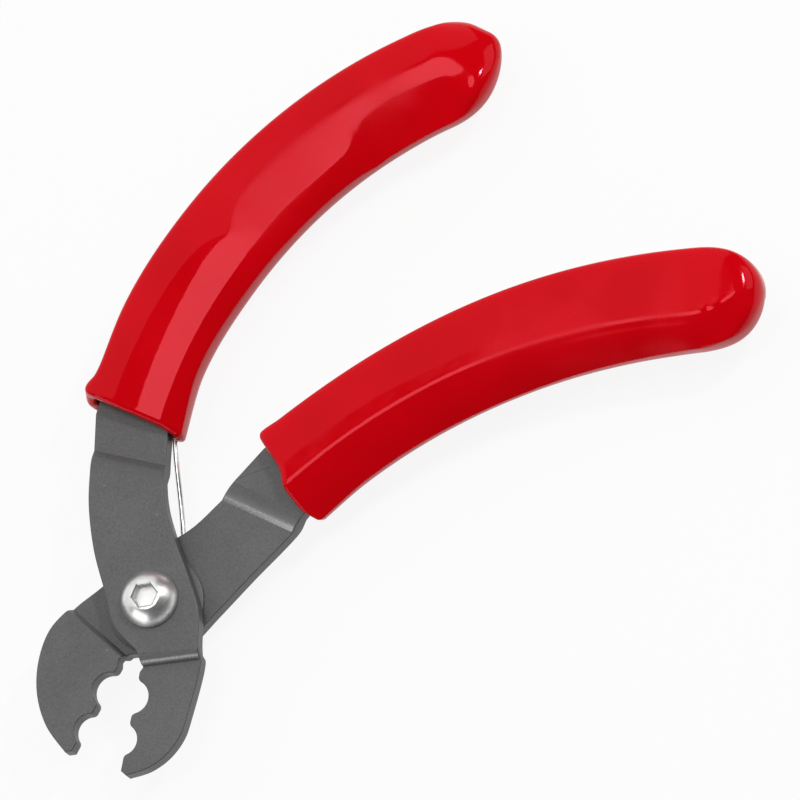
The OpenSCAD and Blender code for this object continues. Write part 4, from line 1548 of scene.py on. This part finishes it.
# Each lamp's shape, its direction and height in degrees, and its distance, width and height in metres
SOFTBOXES = (
    ("right", "RECTANGLE", -21, 26, 0.75, 0.4, 0.4),
    ("left", "RECTANGLE", 188, 14, 0.75, 0.6, 0.32),
    ("glint", "RECTANGLE", -14, 48, 0.7, 0.07, 0.07),
    ("back", "RECTANGLE", 90, 38, 1.0, 3.0, 1.4),
    ("top", "ELLIPSE", 90, 88, 0.8, 0.44, 0.31),
)
LAMP_AIM = Vector((0.04, 0.0, 0.01))


def floor_material(stage):
    """Pale matt floor that the camera and mirrors see nearly white, with the object's shadow."""
    material = bpy.data.materials.new("studio_floor")
    material.use_nodes = True
    sketch = Sketch(material.node_tree)
    matt = sketch.add("ShaderNodeBsdfDiffuse", {"Color": stage.floor})
    glow = sketch.add("ShaderNodeEmission", {"Color": (1, 1, 1, 1), "Strength": 1.0})
    rays = sketch.add("ShaderNodeLightPath").outputs
    seen = sketch.maths("MAXIMUM", rays["Is Camera Ray"], rays["Is Glossy Ray"])
    seen = sketch.maths("MAXIMUM", seen, rays["Is Transmission Ray"])
    blend = sketch.add("ShaderNodeMixShader", {
        0: sketch.maths("MULTIPLY", seen, FLOOR_GLOW), 1: matt.outputs[0], 2: glow.outputs[0]})
    sketch.add("ShaderNodeOutputMaterial", {"Surface": blend.outputs[0]})
    return material


def softbox(name, shape, azimuth, elevation, distance, width, height, watts):
    """Add a flat lamp at a direction from the object, facing it."""
    lamp = bpy.data.lights.new(name, "AREA")
    lamp.shape = shape
    lamp.size = width
    lamp.size_y = height
    lamp.energy = watts
    holder = bpy.data.objects.new(name, lamp)
    bpy.context.scene.collection.objects.link(holder)
    flat = polar(math.cos(math.radians(elevation)), azimuth)
    away = Vector((flat.x, flat.y, math.sin(math.radians(elevation))))
    holder.location = LAMP_AIM + away * distance
    holder.rotation_euler = away.to_track_quat("Z", "Y").to_euler()
    holder.visible_camera = False


class PLIERS_OT_stage(bpy.types.Operator):
    """Build the floor, the lamps, the room's light and the camera"""

    bl_idname = "pliers.stage"
    bl_label = "Stage"

    def execute(self, context):
        stage = context.scene.pliers_stage
        mesh = bpy.data.meshes.new("studio_floor")
        corners = [(x * FLOOR_HALF, y * FLOOR_HALF, 0) for x, y in ((-1, -1), (1, -1), (1, 1), (-1, 1))]
        mesh.from_pydata(corners, [], [(0, 1, 2, 3)])
        mesh.materials.append(floor_material(stage))
        floor = bpy.data.objects.new("studio_floor", mesh)
        context.scene.collection.objects.link(floor)
        for name, *setup in SOFTBOXES:
            softbox(f"{name}_softbox", *setup, getattr(stage, f"{name}_lamp"))
        world = bpy.data.worlds.new("studio_room")
        world.use_nodes = True
        world.node_tree.nodes["Background"].inputs["Color"].default_value = stage.sky
        context.scene.world = world
        context.scene.view_settings.view_transform = "Standard"
        self.add_camera(context, stage.lens)
        return {"FINISHED"}

    def add_camera(self, context, lens):
        """Add the camera at the photograph's angle, with a long lens."""
        tilt = math.radians(ELEVATION)
        back = Vector((0, -math.cos(tilt), math.sin(tilt)))
        plain_right = Vector((1, 0, 0))
        plain_up = Vector((0, math.sin(tilt), math.cos(tilt)))
        turn = math.radians(IMAGE_TURN)
        right = math.sin(turn) * plain_right - math.cos(turn) * plain_up
        up = math.cos(turn) * plain_right + math.sin(turn) * plain_up
        data = bpy.data.cameras.new("photo_camera")
        data.lens = lens
        data.sensor_width = SENSOR
        data.clip_end = CLIP_END
        camera = bpy.data.objects.new("photo_camera", data)
        context.scene.collection.objects.link(camera)
        distance = PICTURE_WIDTH / PIXELS_A_MM * lens / SENSOR
        place = Matrix((right, up, back)).transposed().to_4x4()
        place.translation = (TARGET + back * distance) * MM
        camera.matrix_world = place
        context.scene.camera = camera


class PLIERS_PT_panel(bpy.types.Panel):
    """Lists the settings and the steps of the build"""

    bl_idname = "PLIERS_PT_panel"
    bl_label = "Nock pliers"
    bl_space_type = "VIEW_3D"
    bl_region_type = "UI"
    bl_category = "Nock pliers"

    def draw(self, context):
        for step in STEPS:
            self.layout.operator(step.bl_idname)
        for name in SETTINGS:
            box = self.layout.box()
            group = getattr(context.scene, name)
            for field in group.bl_rna.properties:
                if not field.is_readonly and field.identifier != "name":
                    box.prop(group, field.identifier)


SETTINGS = {
    "pliers_levers": LeverSettings,
    "pliers_grips": GripSettings,
    "pliers_pivot": PivotSettings,
    "pliers_spring": SpringSettings,
    "pliers_finish": FinishSettings,
    "pliers_stage": StageSettings,
}
STEPS = (
    PLIERS_OT_levers,
    PLIERS_OT_grips,
    PLIERS_OT_screw,
    PLIERS_OT_washers,
    PLIERS_OT_lock_nut,
    PLIERS_OT_spring,
    PLIERS_OT_stage,
)
CLASSES = tuple(SETTINGS.values()) + STEPS + (PLIERS_PT_panel,)


def register():
    """Register the classes and give the scene its settings."""
    for item in CLASSES:
        bpy.utils.register_class(item)
    for name, group in SETTINGS.items():
        setattr(bpy.types.Scene, name, bpy.props.PointerProperty(type=group))


def unregister():
    """Remove the settings and the classes."""
    for name in SETTINGS:
        delattr(bpy.types.Scene, name)
    for item in reversed(CLASSES):
        bpy.utils.unregister_class(item)


def main():
    """Build every piece and the stage."""
    register()
    bpy.ops.pliers.levers()
    bpy.ops.pliers.grips()
    bpy.ops.pliers.screw()
    bpy.ops.pliers.washers()
    bpy.ops.pliers.lock_nut()
    bpy.ops.pliers.spring()
    bpy.ops.pliers.stage()


if __name__ == "__main__":
    main()
